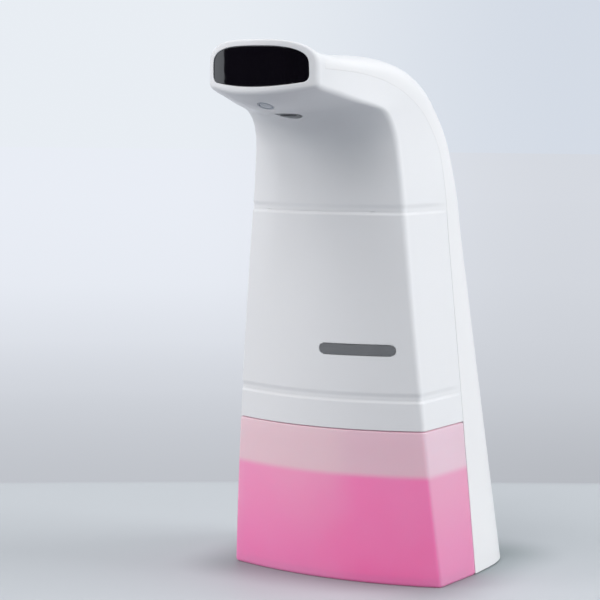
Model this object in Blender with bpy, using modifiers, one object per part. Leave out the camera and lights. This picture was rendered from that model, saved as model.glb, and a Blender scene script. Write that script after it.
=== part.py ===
"""Automatic foam soap dispenser: a gooseneck housing that lifts off a translucent soap tank.

Metres, +Z up. The front faces -Y and x = 0 is the symmetry plane. The origin is on the floor,
under the tank, where the side parting line between front shell and back cover comes down.
"""
import math

import bmesh
import bpy
from mathutils import Matrix, Vector

MM = 0.001

# Driving sizes: the heights stack up to 200 mm
TANK_HEIGHT = 58 * MM
BEND_ABOVE_TANK = 91 * MM
HEAD_RISE = 51 * MM
REACH = 74.8 * MM
BASE_HALF_WIDTH = 46.8 * MM
NECK_HALF_WIDTH = 34.3 * MM
RIM_HALF_WIDTH = 21.6 * MM
BASE_BACK = 41.3 * MM
WALL = 2.2 * MM
GAP = 0.3 * MM

# Levels of the bend, the top and the grooves
LOWER_GROOVE_ABOVE_TANK = 11.5 * MM
UPPER_GROOVE_BELOW_BEND = 11.2 * MM
BEND_HEIGHT = TANK_HEIGHT + BEND_ABOVE_TANK
HEIGHT = BEND_HEIGHT + HEAD_RISE
LOWER_GROOVE_HEIGHT = TANK_HEIGHT + LOWER_GROOVE_ABOVE_TANK
UPPER_GROOVE_HEIGHT = BEND_HEIGHT - UPPER_GROOVE_BELOW_BEND

# Level outlines of the tower, at the floor and at the bend
BASE_CORNER_WIDTH_SHARE = .955
NECK_CORNER_WIDTH_SHARE = .9125
NECK_CORNER_FRONT_SHARE = .4064
NECK_FRONT_BULGE_SHARE = .1337
NECK_BACK_SHARE = .2072
BASE_CORNER_HALF_WIDTH = BASE_HALF_WIDTH * BASE_CORNER_WIDTH_SHARE
NECK_CORNER_HALF_WIDTH = NECK_HALF_WIDTH * NECK_CORNER_WIDTH_SHARE
BASE_CORNER_FRONT = 24.8 * MM
NECK_CORNER_FRONT = REACH * NECK_CORNER_FRONT_SHARE
BASE_FRONT_BULGE = 7.4 * MM
NECK_FRONT_BULGE = REACH * NECK_FRONT_BULGE_SHARE
NECK_PARTING_LEAN = 2.5 * MM
NECK_BACK = REACH * NECK_BACK_SHARE
BACK_EXPONENT = 4.0
RIM_EXPONENT = 2.1
FRONT_LEAN_SHARE = 0.87

# Head
RIM_FORWARD_BULGE = 6.5 * MM
HEAD_TAPER_POWER = 1.15
BULGE_POWER = 1.7

# Side view of the bend and head: forward as a share of the reach, up as a share of the rise
# from the bend to the top
EDGE_SHARES = [(.413, .157), (.428, .325), (.465, .431), (.516, .498), (.602, .537),
               (.715, .571), (.866, .625), (.956, .653), (1, .673)]
BELLY_SHARES = [(.545, .137), (.564, .265), (.602, .359), (.662, .427), (.749, .471),
                (.822, .490), (.889, .522), (.949, .573), (1, .627)]
PARTING_SHARES = [(.045, .196), (.107, .373), (.187, .500), (.301, .600), (.455, .690),
                  (.628, .749), (.822, .780), (.943, .790), (1, .794)]
CROWN_SHARES = [(-.144, .296), (-.060, .510), (.040, .682), (.187, .808), (.400, .882),
                (.607, .892), (.818, .906), (.943, .951), (1, 1)]
TOWER_LEVEL_SHARES = [0, .13, .27, .40, .53, .66, .79, .90, 1]
FRONT_STEPS = 6
BACK_STEPS = 9
ROUND_STEPS = 32
OVERRUN = 20 * MM

# Tank
TANK_WALL = 2.0 * MM
TANK_FLOOR = 2.4 * MM
TANK_REAR = 15.0 * MM
TANK_EDGE = 1.2 * MM
TANK_REAR_RADIUS = 8.0 * MM
TANK_REAR_CORNER_STEPS = 4

# Deck, gasket and screws over the tank
TOP_SEAM = 0.6 * MM
GASKET_DEPTH = 3.0 * MM
GASKET_WIDTH = 3.0 * MM
DECK_THICKNESS = 2.5 * MM
SCREW_RADIUS = 1.45 * MM
SCREW_HEAD_RADIUS = 2.6 * MM
SCREW_HEAD_HEIGHT = 1.5 * MM
SCREW_LENGTH = 8.0 * MM
SCREW_SPAN_SHARE = .577
SCREW_HALF_SPAN = BASE_HALF_WIDTH * SCREW_SPAN_SHARE
FRONT_SCREW_Y = -18.0 * MM
REAR_SCREW_Y = 5.0 * MM

# Pump
PUMP_RADIUS = 14.0 * MM
VALVE_BLOCK_HEIGHT = 10.0 * MM
OUTLET_EAR_HEIGHT = 8.0 * MM
OUTLET_EAR_HALF_WIDTH = 4.0 * MM
HOSE_FROM_PUMP = 18.0 * MM
HOSE_RADIUS = 2.5 * MM
OUTLET_EAR_MARGIN = 1.5 * MM
DIAPHRAGM_RADIUS = 13.0 * MM
DIAPHRAGM_THICKNESS = 1.5 * MM
DIAPHRAGM_CUP_RADIUS = 3.2 * MM
DIAPHRAGM_CUP_HEIGHT = 2.4 * MM
DIAPHRAGM_CUP_SPAN = 7.0 * MM
DIAPHRAGM_CUPS = 3
PUMP_CASE_HEIGHT = 14.0 * MM
PUMP_CASE_WALL = 1.5 * MM
ECCENTRIC_RADIUS = 6.0 * MM
ECCENTRIC_THICKNESS = 4.0 * MM
ECCENTRIC_PIN_RADIUS = 1.2 * MM
ECCENTRIC_PIN_LENGTH = 2.0 * MM
ECCENTRIC_THROW = 3.0 * MM
ROCKER_RADIUS = 10.5 * MM
ROCKER_THICKNESS = 1.5 * MM
ROCKER_HUB_RADIUS = 4.5 * MM
SHAFT_RADIUS = 1.0 * MM
SHAFT_BEARING_LENGTH = 3.0 * MM
MOTOR_RADIUS = 10.2 * MM
MOTOR_LENGTH = 22.0 * MM
MOTOR_EDGE = 1.0 * MM
MOTOR_FROM_TRAY = 1.85 * MM
MOTOR_TAIL_RADIUS = 3.5 * MM
MOTOR_TAIL_LENGTH = 1.5 * MM

# Pickup
PICKUP_FROM_PUMP = 11.0 * MM
PICKUP_RADIUS = 2.5 * MM
FILTER_RADIUS = 4.0 * MM
FILTER_HEIGHT = 8.0 * MM
FILTER_CLEARANCE = 1.2 * MM

# Foam nozzle and the small lens under the head
NOZZLE_REACH_SHARE = .7687
NOZZLE_Y = -REACH * NOZZLE_REACH_SHARE
NOZZLE_DROP = 0.5 * MM
NOZZLE_RADIUS = 4.7 * MM
NOZZLE_NECK_LENGTH = 5.2 * MM
NOZZLE_COLLAR_RADIUS = 6.8 * MM
NOZZLE_COLLAR_HEIGHT = 2.0 * MM
NOZZLE_BODY_RADIUS = 5.5 * MM
NOZZLE_HEIGHT = 15.5 * MM
NOZZLE_RECESS_RADIUS = 3.2 * MM
NOZZLE_RECESS_DEPTH = 1.6 * MM
MESH_THICKNESS = 1.0 * MM
LENS_REACH_SHARE = .976
LENS_Y = -REACH * LENS_REACH_SHARE
LENS_RADIUS = 3.0 * MM
LENS_LENGTH = 3.2 * MM

# Sensor window and board
WINDOW_THICKNESS = 1.5 * MM
WINDOW_RECESS = 0.4 * MM
WINDOW_COLUMNS = 20
BOARD_THICKNESS = 1.2 * MM
SENSOR_BOARD_MARGIN = 8.6 * MM
SENSOR_BOARD_HALF_WIDTH = RIM_HALF_WIDTH - SENSOR_BOARD_MARGIN
SENSOR_BOARD_HEIGHT = 6.5 * MM
LED_RADIUS = 1.8 * MM
LED_SPAN = 6.0 * MM

# Badge plate, left bare
BADGE_CENTRE_SHARE = .3355
BADGE_CENTRE_X = BASE_HALF_WIDTH * BADGE_CENTRE_SHARE
BADGE_LENGTH = 28.4 * MM
BADGE_HEIGHT_ON_PANEL = 18.4 * MM
BADGE_WIDTH = 3.9 * MM
BADGE_THICKNESS = 0.5 * MM
BADGE_PROUD = 0.1 * MM

# Battery bay, measured along the back
CELL_RADIUS = 5.25 * MM
CELL_LENGTH = 44.5 * MM
CELL_TERMINAL_RADIUS = 1.9 * MM
CELL_TERMINAL_LENGTH = 0.8 * MM
CELL_COUNT = 4
TROUGH_WALL = 0.8 * MM
TRAY_END = 2.0 * MM
TRAY_BACK = 0.8 * MM
TRAY_RELIEF = 2.0 * MM
CELL_RELIEF = 0.6 * MM
TRAY_ABOVE_DECK = 6.1 * MM
CONTACT_THICKNESS = 0.6 * MM
DOOR_MARGIN = 0.9 * MM
DOOR_OVERLAP = 2.5 * MM

# Main board, button and switch, measured along the back
MAIN_BOARD_HALF_WIDTH = 16.0 * MM
MAIN_BOARD_LENGTH = 28.0 * MM
MAIN_BOARD_THICKNESS = 1.6 * MM
BUTTON_RADIUS = 4.5 * MM
BUTTON_PROUD = 1.2 * MM
BUTTON_FLANGE = 1.2 * MM
BUTTON_FLANGE_THICKNESS = 1.2 * MM
BUTTON_TRAVEL = 1.0 * MM
BUTTON_LEVEL_SHARE = .429
SWITCH_HALF_WIDTH = 3.0 * MM
SWITCH_DEPTH = 4.5 * MM

# Sole of the spine and its feet
SOLE_HEIGHT = 1.5 * MM
SOLE_THICKNESS = 2.0 * MM
FOOT_RADIUS = 4.0 * MM
FOOT_SPAN_SHARE = .47
FOOT_SPAN = BASE_HALF_WIDTH * FOOT_SPAN_SHARE
FOOT_FROM_BACK = 12.0 * MM

# Levels that follow from the sizes above
COLLAR_BOTTOM = TANK_HEIGHT + TOP_SEAM
DECK_BOTTOM = COLLAR_BOTTOM + GAP
DECK_TOP = DECK_BOTTOM + DECK_THICKNESS
VALVE_BOTTOM = DECK_TOP + GAP
VALVE_TOP = VALVE_BOTTOM + VALVE_BLOCK_HEIGHT
DIAPHRAGM_BOTTOM = VALVE_TOP + GAP
DIAPHRAGM_TOP = DIAPHRAGM_BOTTOM + DIAPHRAGM_THICKNESS
CASE_BOTTOM = DIAPHRAGM_TOP + GAP
CASE_TOP = CASE_BOTTOM + PUMP_CASE_HEIGHT
MOTOR_BOTTOM = CASE_TOP + GAP
TRAY_START = DECK_TOP + TRAY_ABOVE_DECK
TROUGH_PITCH = 2 * (CELL_RADIUS + GAP) + TROUGH_WALL
BAY_HALF_WIDTH = (CELL_COUNT * TROUGH_PITCH + TROUGH_WALL) / 2
BACK_LEAN = math.atan2(BASE_BACK - NECK_BACK, BEND_HEIGHT)
BACK_LENGTH = BEND_HEIGHT / math.cos(BACK_LEAN)


def empty_scene():
    for thing in list(bpy.data.objects):
        bpy.data.objects.remove(thing, do_unlink=True)


def new_collection(name):
    collection = bpy.data.collections.new(name)
    bpy.context.scene.collection.children.link(collection)
    return collection


def make_material(name, colour, roughness, metallic=0.0, alpha=1.0):
    material = bpy.data.materials.new(name)
    material.use_nodes = True
    shader = material.node_tree.nodes["Principled BSDF"]
    shader.inputs["Base Color"].default_value = (*colour, 1)
    shader.inputs["Roughness"].default_value = roughness
    shader.inputs["Metallic"].default_value = metallic
    shader.inputs["Alpha"].default_value = alpha
    return material


empty_scene()
PARTS = new_collection("foam_soap_dispenser")
CUTTERS = new_collection("cutters")

WHITE = make_material("white_shell", (.86, .87, .89), .22)
BLACK = make_material("black_window", (.006, .006, .007), .06)
PINK = make_material("frosted_pink_tank", (.80, .42, .58), .35, alpha=.55)
GREY = make_material("grey_badge", (.33, .33, .35), .35)
DARK = make_material("dark_nozzle", (.10, .10, .11), .4)
RUBBER = make_material("soft_rubber", (.75, .75, .76), .7)
STEEL = make_material("steel", (.62, .62, .64), .3, 1.0)
GREEN = make_material("circuit_board", (.05, .22, .10), .45)
CELL = make_material("cell_sleeve", (.10, .11, .13), .35, .3)
CLEAR = make_material("clear_tube", (.85, .88, .90), .2)
BRASS = make_material("contact_metal", (.72, .60, .30), .35, 1.0)


def add_object(name, mesh, material=None, parent=None):
    """Adds a sub-part, or a cutter when there is no material."""
    thing = bpy.data.objects.new(name, mesh)
    if material is None:
        CUTTERS.objects.link(thing)
        thing.hide_render = True
        thing.display_type = "WIRE"
    else:
        PARTS.objects.link(thing)
        mesh.materials.append(material)
    thing.parent = parent
    return thing


def add_empty(name, location, lean=0.0):
    anchor = bpy.data.objects.new(name, None)
    anchor.empty_display_size = WALL
    anchor.location = location
    anchor.rotation_euler = (lean, 0, 0)
    PARTS.objects.link(anchor)
    return anchor


def mesh_from(name, build, smooth=True):
    """A mesh whose faces are made by build(bm) and point out."""
    bm = bmesh.new()
    build(bm)
    mesh = bpy.data.meshes.new(name)
    bm.to_mesh(mesh)
    bm.free()
    if smooth:
        mesh.shade_smooth()
        mesh.set_sharp_from_angle(angle=math.radians(30))
    return mesh


def loft_mesh(name, rings, capped):
    """Joins closed rings of equal length, bottom to top, into a tube or a solid."""
    def build(bm):
        rows = [[bm.verts.new(point) for point in ring] for ring in rings]
        count = len(rings[0])
        for low, high in zip(rows, rows[1:]):
            for j in range(count):
                k = (j + 1) % count
                bm.faces.new((low[j], low[k], high[k], high[j]))
        if capped:
            bm.faces.new(list(reversed(rows[0])))
            bm.faces.new(rows[-1])
            bmesh.ops.recalc_face_normals(bm, faces=bm.faces)
    return mesh_from(name, build)


def box(name, low, high, material=None, parent=None):
    def build(bm):
        bmesh.ops.create_cube(bm, size=1)
        size = [b - a for a, b in zip(low, high)]
        centre = [(a + b) / 2 for a, b in zip(low, high)]
        bmesh.ops.scale(bm, vec=size, verts=bm.verts)
        bmesh.ops.translate(bm, vec=centre, verts=bm.verts)
    return add_object(name, mesh_from(name, build, smooth=False), material, parent)


def cylinder(name, radius, low, high, centre=(0, 0), material=None, parent=None, axis="Z"):
    """A round bar between two levels of its axis; centre holds the two other coordinates."""
    def build(bm):
        bmesh.ops.create_cone(bm, cap_ends=True, segments=ROUND_STEPS, radius1=radius,
                              radius2=radius, depth=high - low)
        bmesh.ops.translate(bm, vec=(0, 0, (low + high) / 2), verts=bm.verts)
        if axis == "Y":
            bmesh.ops.rotate(bm, matrix=Matrix.Rotation(-math.pi / 2, 3, "X"), verts=bm.verts)
        shift = (*centre, 0) if axis == "Z" else (centre[0], 0, centre[1])
        bmesh.ops.translate(bm, vec=shift, verts=bm.verts)
    return add_object(name, mesh_from(name, build), material, parent)


def turned(name, profile, material, centre=(0, 0, 0), parent=None, hollow=False):
    """A turned piece: radius and height points, from the top down its outer side.

    A hollow piece has a profile that closes on itself and stays off the axis.
    """
    def build(bm):
        verts = [bm.verts.new((radius, 0, height)) for radius, height in profile]
        if hollow:
            verts.append(verts[0])
        for a, b in zip(verts, verts[1:]):
            bm.edges.new((a, b))
    thing = add_object(name, mesh_from(name, build, smooth=False), material, parent)
    thing.location = centre
    screw = thing.modifiers.new("turn", "SCREW")
    screw.steps = ROUND_STEPS
    screw.render_steps = ROUND_STEPS
    screw.use_merge_vertices = True
    screw.merge_threshold = 0.1 * GAP
    screw.use_smooth_shade = True
    return thing


def boolean(thing, cutter, operation="DIFFERENCE"):
    cut = thing.modifiers.new(operation.lower(), "BOOLEAN")
    cut.operation = operation
    cut.object = cutter
    cut.solver = "EXACT"


def prism(name, outline, half_width):
    """A cutter with a side-view outline (y, z), as wide as twice half_width."""
    def build(bm):
        face = bm.faces.new([bm.verts.new((-half_width, y, z)) for y, z in outline])
        grown = bmesh.ops.extrude_face_region(bm, geom=[face])
        verts = [v for v in grown["geom"] if isinstance(v, bmesh.types.BMVert)]
        bmesh.ops.translate(bm, vec=(2 * half_width, 0, 0), verts=verts)
        bmesh.ops.recalc_face_normals(bm, faces=bm.faces)
    return add_object(name, mesh_from(name, build, smooth=False))


def blend(start, end, share):
    return start + (end - start) * share


# The skin: every section is set by four side-view points and two half-widths
def tower_section(height):
    share = height / BEND_HEIGHT
    straight = max(0.0, 1 - share / FRONT_LEAN_SHARE)
    corner = -blend(NECK_CORNER_FRONT, BASE_CORNER_FRONT, straight ** 2)
    bulge = blend(BASE_FRONT_BULGE, NECK_FRONT_BULGE, min(share, 1))
    return {
        "belly": Vector((corner - bulge, height)),
        "edge": Vector((corner, height)),
        "parting": Vector((-NECK_PARTING_LEAN * share, height)),
        "crown": Vector((blend(BASE_BACK, NECK_BACK, share), height)),
        "edge_width": blend(BASE_CORNER_HALF_WIDTH, NECK_CORNER_HALF_WIDTH, share),
        "parting_width": blend(BASE_HALF_WIDTH, NECK_HALF_WIDTH, share),
        "exponent": BACK_EXPONENT,
        "forward": 0.0,
    }


def side_point(shares):
    return Vector((-REACH * shares[0], BEND_HEIGHT + HEAD_RISE * shares[1]))


def head_section(index):
    edge = side_point(EDGE_SHARES[index])
    last = len(EDGE_SHARES)
    along = (index + 1) / last
    left = max(0.0, (REACH + edge.x) / (REACH - NECK_CORNER_FRONT))
    taper = blend(RIM_HALF_WIDTH, NECK_CORNER_HALF_WIDTH, left ** HEAD_TAPER_POWER)
    tower_width = tower_section(edge.y)["edge_width"]
    edge_width = max(min(taper, tower_width), RIM_HALF_WIDTH)
    flare = (NECK_HALF_WIDTH - NECK_CORNER_HALF_WIDTH) * (1 - along) ** 2
    return {
        "belly": side_point(BELLY_SHARES[index]),
        "edge": edge,
        "parting": side_point(PARTING_SHARES[index]),
        "crown": side_point(CROWN_SHARES[index]),
        "edge_width": edge_width,
        "parting_width": edge_width + flare,
        "exponent": blend(BACK_EXPONENT, RIM_EXPONENT, along),
        "forward": RIM_FORWARD_BULGE * max(0.0, 1 - left) ** BULGE_POWER,
    }


def section_ring(section):
    """A closed ring of points: front centre, right side, back centre, left side."""
    edge, parting = section["edge"], section["parting"]
    wide = section["parting_width"]
    half = []
    for step in range(FRONT_STEPS):
        share = step / FRONT_STEPS
        side = edge + (section["belly"] - edge) * (1 - share ** 2)
        half.append((section["edge_width"] * share, side))
    half.append((section["edge_width"], edge))
    for step in range(BACK_STEPS + 1):
        angle = math.pi / 2 * step / BACK_STEPS
        out = max(math.cos(angle), 0.0) ** (2 / section["exponent"])
        back = math.sin(angle) ** (2 / section["exponent"])
        half.append((wide * out, parting + (section["crown"] - parting) * back))
    half[-1] = (0.0, section["crown"])
    widest = max(wide, section["edge_width"])
    right = [Vector((x, p.x - section["forward"] * (1 - (x / widest) ** 2), p.y)) for x, p in half]
    left = [Vector((-p.x, p.y, p.z)) for p in reversed(right[1:-1])]
    return right + left


def inset(points, distance):
    """Moves a closed flat outline, counterclockwise, inwards by a distance."""
    moved = []
    count = len(points)
    for i in range(count):
        before = (points[i] - points[i - 1]).normalized()
        after = (points[(i + 1) % count] - points[i]).normalized()
        normal_a = Vector((-before.y, before.x))
        normal_b = Vector((-after.y, after.x))
        middle = (normal_a + normal_b).normalized()
        moved.append(points[i] + middle * (distance / max(middle.dot(normal_a), 0.3)))
    return moved


def level_outline(height, distance=0.0):
    """The skin's outline at a level of the tower, moved in by a distance."""
    ring = section_ring(tower_section(height))
    return inset([Vector((p.x, p.y)) for p in ring], distance) if distance else [p.xy for p in ring]


def level_ring(height, distance=0.0):
    return [Vector((p.x, p.y, height)) for p in level_outline(height, distance)]


def skin_half_width(height, depth):
    """Half the skin's width at a level, at a depth behind the parting line."""
    section = tower_section(height)
    share = (depth - section["parting"].x) / (section["crown"].x - section["parting"].x)
    return section["parting_width"] * (1 - share ** section["exponent"]) ** (1 / section["exponent"])


def skin_depth(height, half_width):
    """How far in from the back the skin is as wide as a half-width, at a level."""
    section = tower_section(height)
    power = section["exponent"]
    share = (1 - (half_width / section["parting_width"]) ** power) ** (1 / power)
    return (section["crown"].x - section["parting"].x) * (1 - share)


def tower_rings():
    return [section_ring(tower_section(BEND_HEIGHT * share)) for share in TOWER_LEVEL_SHARES]


def head_rings():
    return [section_ring(head_section(index)) for index in range(len(EDGE_SHARES))]


SKIN_MESH = loft_mesh("skin", tower_rings() + head_rings(), capped=False)


def skin_object(name, material, thickness, offset=-1.0):
    thing = add_object(name, SKIN_MESH.copy(), material)
    solid = thing.modifiers.new("wall", "SOLIDIFY")
    solid.thickness = thickness
    solid.offset = offset
    solid.use_even_offset = True
    return thing


# Cutters that split the skin
def parting_line():
    """Side view of the seam between front shell and back cover, floor to behind the rim."""
    below = tower_section(-OVERRUN)["parting"]
    bend = tower_section(BEND_HEIGHT)["parting"]
    return [below, bend] + [side_point(shares) for shares in PARTING_SHARES[:-1]]


def shifted_line(line, distance):
    """Moves an open side-view line to its left, which is towards the back and top."""
    moved = []
    for i, point in enumerate(line):
        ahead = line[min(i + 1, len(line) - 1)] - line[max(i - 1, 0)]
        ahead.normalize()
        moved.append(point + Vector((ahead.y, -ahead.x)) * distance)
    return moved


def behind_parting(name, distance):
    line = shifted_line(parting_line(), distance)
    far = BASE_BACK + OVERRUN
    end = parting_line()[-1].x + distance
    outline = [(p.x, p.y) for p in line[:-1]] + [(end, line[-1].y)]
    outline += [(end, HEIGHT + OVERRUN), (far, HEIGHT + OVERRUN), (far, -OVERRUN)]
    return prism(name, outline, BASE_HALF_WIDTH + OVERRUN)


def slab(name, low, high):
    far = REACH + OVERRUN
    return box(name, (-far, -far, low), (far, far, high))


COVER_ZONE = behind_parting("cover_zone", GAP / 2)
FRONT_CLEAR_ZONE = behind_parting("front_clear_zone", -GAP / 2)


def belly_height(depth):
    """Height of the middle of the head's underside at a distance in front of the origin."""
    sections = [head_section(i) for i in range(len(EDGE_SHARES))]
    points = [(s["belly"].x - s["forward"], s["belly"].y) for s in sections]
    for (y0, z0), (y1, z1) in zip(points, points[1:]):
        if y1 <= depth <= y0:
            return blend(z0, z1, (depth - y0) / (y1 - y0)), math.atan2(z1 - z0, y0 - y1)
    return points[-1][1], 0.0


# Housing shells
def below_cut(name, height):
    return slab(name, -2 * OVERRUN, height)


def above_cut(name, height):
    return slab(name, height, HEIGHT + 2 * OVERRUN)


def front_shell(name, material, low, high):
    """The skin in front of the side parting line, between two levels."""
    shell = skin_object(name, material, WALL)
    boolean(shell, FRONT_CLEAR_ZONE)
    boolean(shell, below_cut(name + "_low_cut", low))
    if high is not None:
        boolean(shell, above_cut(name + "_high_cut", high))
    return shell


def window_front(x):
    bulge = RIM_FORWARD_BULGE * (1 - (x / RIM_HALF_WIDTH) ** 2)
    return -REACH - bulge + WINDOW_RECESS


def height_at(points, x):
    """Height of a side of an outline, given as (x, z) points in the order of growing x."""
    for (x0, z0), (x1, z1) in zip(points, points[1:]):
        if x0 <= x <= x1:
            return blend(z0, z1, (x - x0) / (x1 - x0))
    return points[-1][1]


def window_rings(margin, ahead, behind):
    """Sections across a lens shape: the rim's outline moved in, bent like the rim's front."""
    rim = inset([Vector((p.x, p.z)) for p in head_rings()[-1]], margin)
    lower = [(p.x, p.y) for p in rim[:FRONT_STEPS + 1]]
    upper = [(p.x, p.y) for p in reversed(rim[FRONT_STEPS + 1:FRONT_STEPS + BACK_STEPS + 2])]
    half = min(lower[-1][0], upper[-1][0])
    rings = []
    for i in range(WINDOW_COLUMNS + 1):
        x = blend(-half, half, i / WINDOW_COLUMNS)
        low, high = height_at(lower, abs(x)), height_at(upper, abs(x))
        front, back = window_front(x) - ahead, window_front(x) + behind
        rings.append([(x, front, low), (x, back, low), (x, back, high), (x, front, high)])
    return rings


def window_aperture():
    rings = window_rings(WALL, OVERRUN, WINDOW_THICKNESS + GAP)
    return add_object("window_aperture", loft_mesh("window_aperture", rings, capped=True))


def make_upper_shell():
    shell = front_shell("upper_shell", WHITE, UPPER_GROOVE_HEIGHT + GAP / 2, None)
    boolean(shell, window_aperture())
    level = belly_height(NOZZLE_Y)[0]
    hole = cylinder("nozzle_hole", NOZZLE_RADIUS + GAP, level - NOZZLE_NECK_LENGTH,
                    level + NOZZLE_NECK_LENGTH, (0, NOZZLE_Y))
    boolean(shell, hole)
    hole = cylinder("lens_hole", LENS_RADIUS + GAP, -LENS_LENGTH, LENS_LENGTH + WALL,
                    parent=CHIN_FRAME)
    boolean(shell, hole)


def make_middle_panel():
    panel = front_shell("middle_panel", WHITE, LOWER_GROOVE_HEIGHT + GAP / 2,
                        UPPER_GROOVE_HEIGHT - GAP / 2)
    boolean(panel, badge_pocket())


def make_lower_collar():
    front_shell("lower_collar", WHITE, COLLAR_BOTTOM, LOWER_GROOVE_HEIGHT - GAP / 2)


def capsule_cutter(name, margin):
    """A capsule seen from the front, grown by a margin, cutting the front of the skin only."""
    radius = BADGE_WIDTH / 2 + margin
    reach = BADGE_LENGTH / 2 - BADGE_WIDTH / 2
    middle = LOWER_GROOVE_HEIGHT + BADGE_HEIGHT_ON_PANEL
    steps = ROUND_STEPS // 2

    def build(bm):
        points = []
        for i in range(steps + 1):
            angle = -math.pi / 2 + math.pi * i / steps
            points.append((reach + radius * math.cos(angle), radius * math.sin(angle)))
        points += [(-x, -z) for x, z in points]
        front = -NECK_CORNER_FRONT - NECK_FRONT_BULGE - OVERRUN
        verts = [bm.verts.new((BADGE_CENTRE_X + x, front, middle + z)) for x, z in points]
        grown = bmesh.ops.extrude_face_region(bm, geom=[bm.faces.new(verts)])
        moved = [v for v in grown["geom"] if isinstance(v, bmesh.types.BMVert)]
        bmesh.ops.translate(bm, vec=(0, -front - BASE_CORNER_FRONT / 2, 0), verts=moved)
        bmesh.ops.recalc_face_normals(bm, faces=bm.faces)
    return add_object(name, mesh_from(name, build, smooth=False))


def skin_layer(name, material, outside, inside):
    """A layer of the skin from a distance outside it to a distance inside it."""
    thickness = outside + inside
    return skin_object(name, material, thickness, 2 * outside / thickness - 1)


def badge_pocket():
    outside = BADGE_PROUD + GAP
    inside = BADGE_THICKNESS - BADGE_PROUD + GAP
    pocket = skin_layer("badge_pocket", None, outside, inside)
    boolean(pocket, capsule_cutter("pocket_outline", GAP), "INTERSECT")
    return pocket


def make_badge():
    plate = skin_layer("badge_plate", GREY, BADGE_PROUD, BADGE_THICKNESS - BADGE_PROUD)
    boolean(plate, capsule_cutter("badge_outline", 0), "INTERSECT")


def make_back_cover():
    cover = skin_object("back_cover", WHITE, WALL)
    boolean(cover, COVER_ZONE, "INTERSECT")
    boolean(cover, below_cut("spine_low_cut", GAP))
    boolean(cover, door_zone("door_opening", GAP))
    hole = cylinder("button_hole", BUTTON_RADIUS + GAP, -2 * WALL, 2 * WALL,
                    (0, BUTTON_LEVEL), parent=BACK_FRAME, axis="Y")
    boolean(cover, hole)


# Tank
def tank_outline(height, stepped=True):
    """Level outline of the tank: the skin in front, a narrower body inside the spine behind.

    Without its step at the parting line it is the outline that the gasket follows.
    """
    section = tower_section(height)
    edge, parting = section["edge"], section["parting"]
    step_y = parting.x - GAP / 2
    share = (step_y - edge.x) / (parting.x - edge.x)
    shoulder = blend(section["edge_width"], section["parting_width"], share)
    rear = skin_half_width(height, TANK_REAR) - WALL - 2 * GAP
    right = [Vector((p.x, p.y)) for p in section_ring(section)[:FRONT_STEPS + 1]]
    if stepped:
        right += [Vector((shoulder, step_y)), Vector((rear, step_y))]
    for i in range(TANK_REAR_CORNER_STEPS + 1):
        angle = math.pi / 2 * i / TANK_REAR_CORNER_STEPS
        right.append(Vector((rear - TANK_REAR_RADIUS * (1 - math.cos(angle)),
                             TANK_REAR - TANK_REAR_RADIUS * (1 - math.sin(angle)))))
    left = [Vector((-p.x, p.y)) for p in reversed(right[1:])]
    return right + left


def tank_ring(height, distance=0.0, stepped=True):
    outline = tank_outline(height, stepped)
    if distance:
        outline = inset(outline, distance)
    return [Vector((p.x, p.y, height)) for p in outline]


def make_tank():
    outer = [tank_ring(0, TANK_EDGE)]
    for share in (0, 1 / 3, 2 / 3, 1):
        outer.append(tank_ring(blend(TANK_EDGE, TANK_HEIGHT - TANK_EDGE, share)))
    outer.append(tank_ring(TANK_HEIGHT, TANK_EDGE / 2))
    tank = add_object("tank", loft_mesh("tank", outer, capped=True), PINK)
    inner = []
    for share in (0, 1 / 3, 2 / 3, 1):
        inner.append(tank_ring(blend(TANK_FLOOR, TANK_HEIGHT + TANK_EDGE, share), TANK_WALL))
    boolean(tank, add_object("tank_hollow", loft_mesh("tank_hollow", inner, capped=True)))


def make_gasket():
    low, high = TANK_HEIGHT - GASKET_DEPTH, COLLAR_BOTTOM
    outside = TANK_WALL + 2 * GAP
    rings = [tank_ring(low, outside, False), tank_ring(high, outside, False)]
    gasket = add_object("tank_gasket", loft_mesh("tank_gasket", rings, capped=True), RUBBER)
    inside = outside + GASKET_WIDTH
    rings = [tank_ring(low - GAP, inside, False), tank_ring(high + GAP, inside, False)]
    boolean(gasket, add_object("gasket_hollow", loft_mesh("gasket_hollow", rings, capped=True)))


# Deck and what stands on it
def screw_places():
    return [(side * SCREW_HALF_SPAN, y) for y in (FRONT_SCREW_Y, REAR_SCREW_Y) for side in (-1, 1)]


def make_deck():
    margin = WALL + GAP
    rings = [level_ring(DECK_BOTTOM, margin), level_ring(DECK_TOP, margin)]
    deck = add_object("pump_deck", loft_mesh("pump_deck", rings, capped=True), WHITE)
    low, high = DECK_BOTTOM - DECK_THICKNESS, DECK_TOP + DECK_THICKNESS
    for i, place in enumerate(screw_places()):
        boolean(deck, cylinder(f"screw_hole_{i + 1}", SCREW_RADIUS + GAP, low, high, place))
    boolean(deck, cylinder("pickup_hole", PICKUP_RADIUS + GAP, low, high, (0, PICKUP_Y)))


def make_screws():
    head_top = DECK_BOTTOM - GAP
    profile = [(0, SCREW_LENGTH), (SCREW_RADIUS, SCREW_LENGTH), (SCREW_RADIUS, 0),
               (SCREW_HEAD_RADIUS, 0), (SCREW_HEAD_RADIUS, -SCREW_HEAD_HEIGHT),
               (0, -SCREW_HEAD_HEIGHT)]
    for i, (x, y) in enumerate(screw_places()):
        turned(f"deck_screw_{i + 1}", profile, STEEL, (x, y, head_top))


def make_valve_block():
    block = cylinder("valve_block", PUMP_RADIUS, VALVE_BOTTOM, VALVE_TOP, (0, PUMP_Y), WHITE)
    front = HOSE_Y - HOSE_RADIUS - OUTLET_EAR_MARGIN
    ear = box("outlet_ear", (-OUTLET_EAR_HALF_WIDTH, front, VALVE_BOTTOM),
              (OUTLET_EAR_HALF_WIDTH, PUMP_Y, VALVE_BOTTOM + OUTLET_EAR_HEIGHT))
    boolean(block, ear, "UNION")


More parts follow.
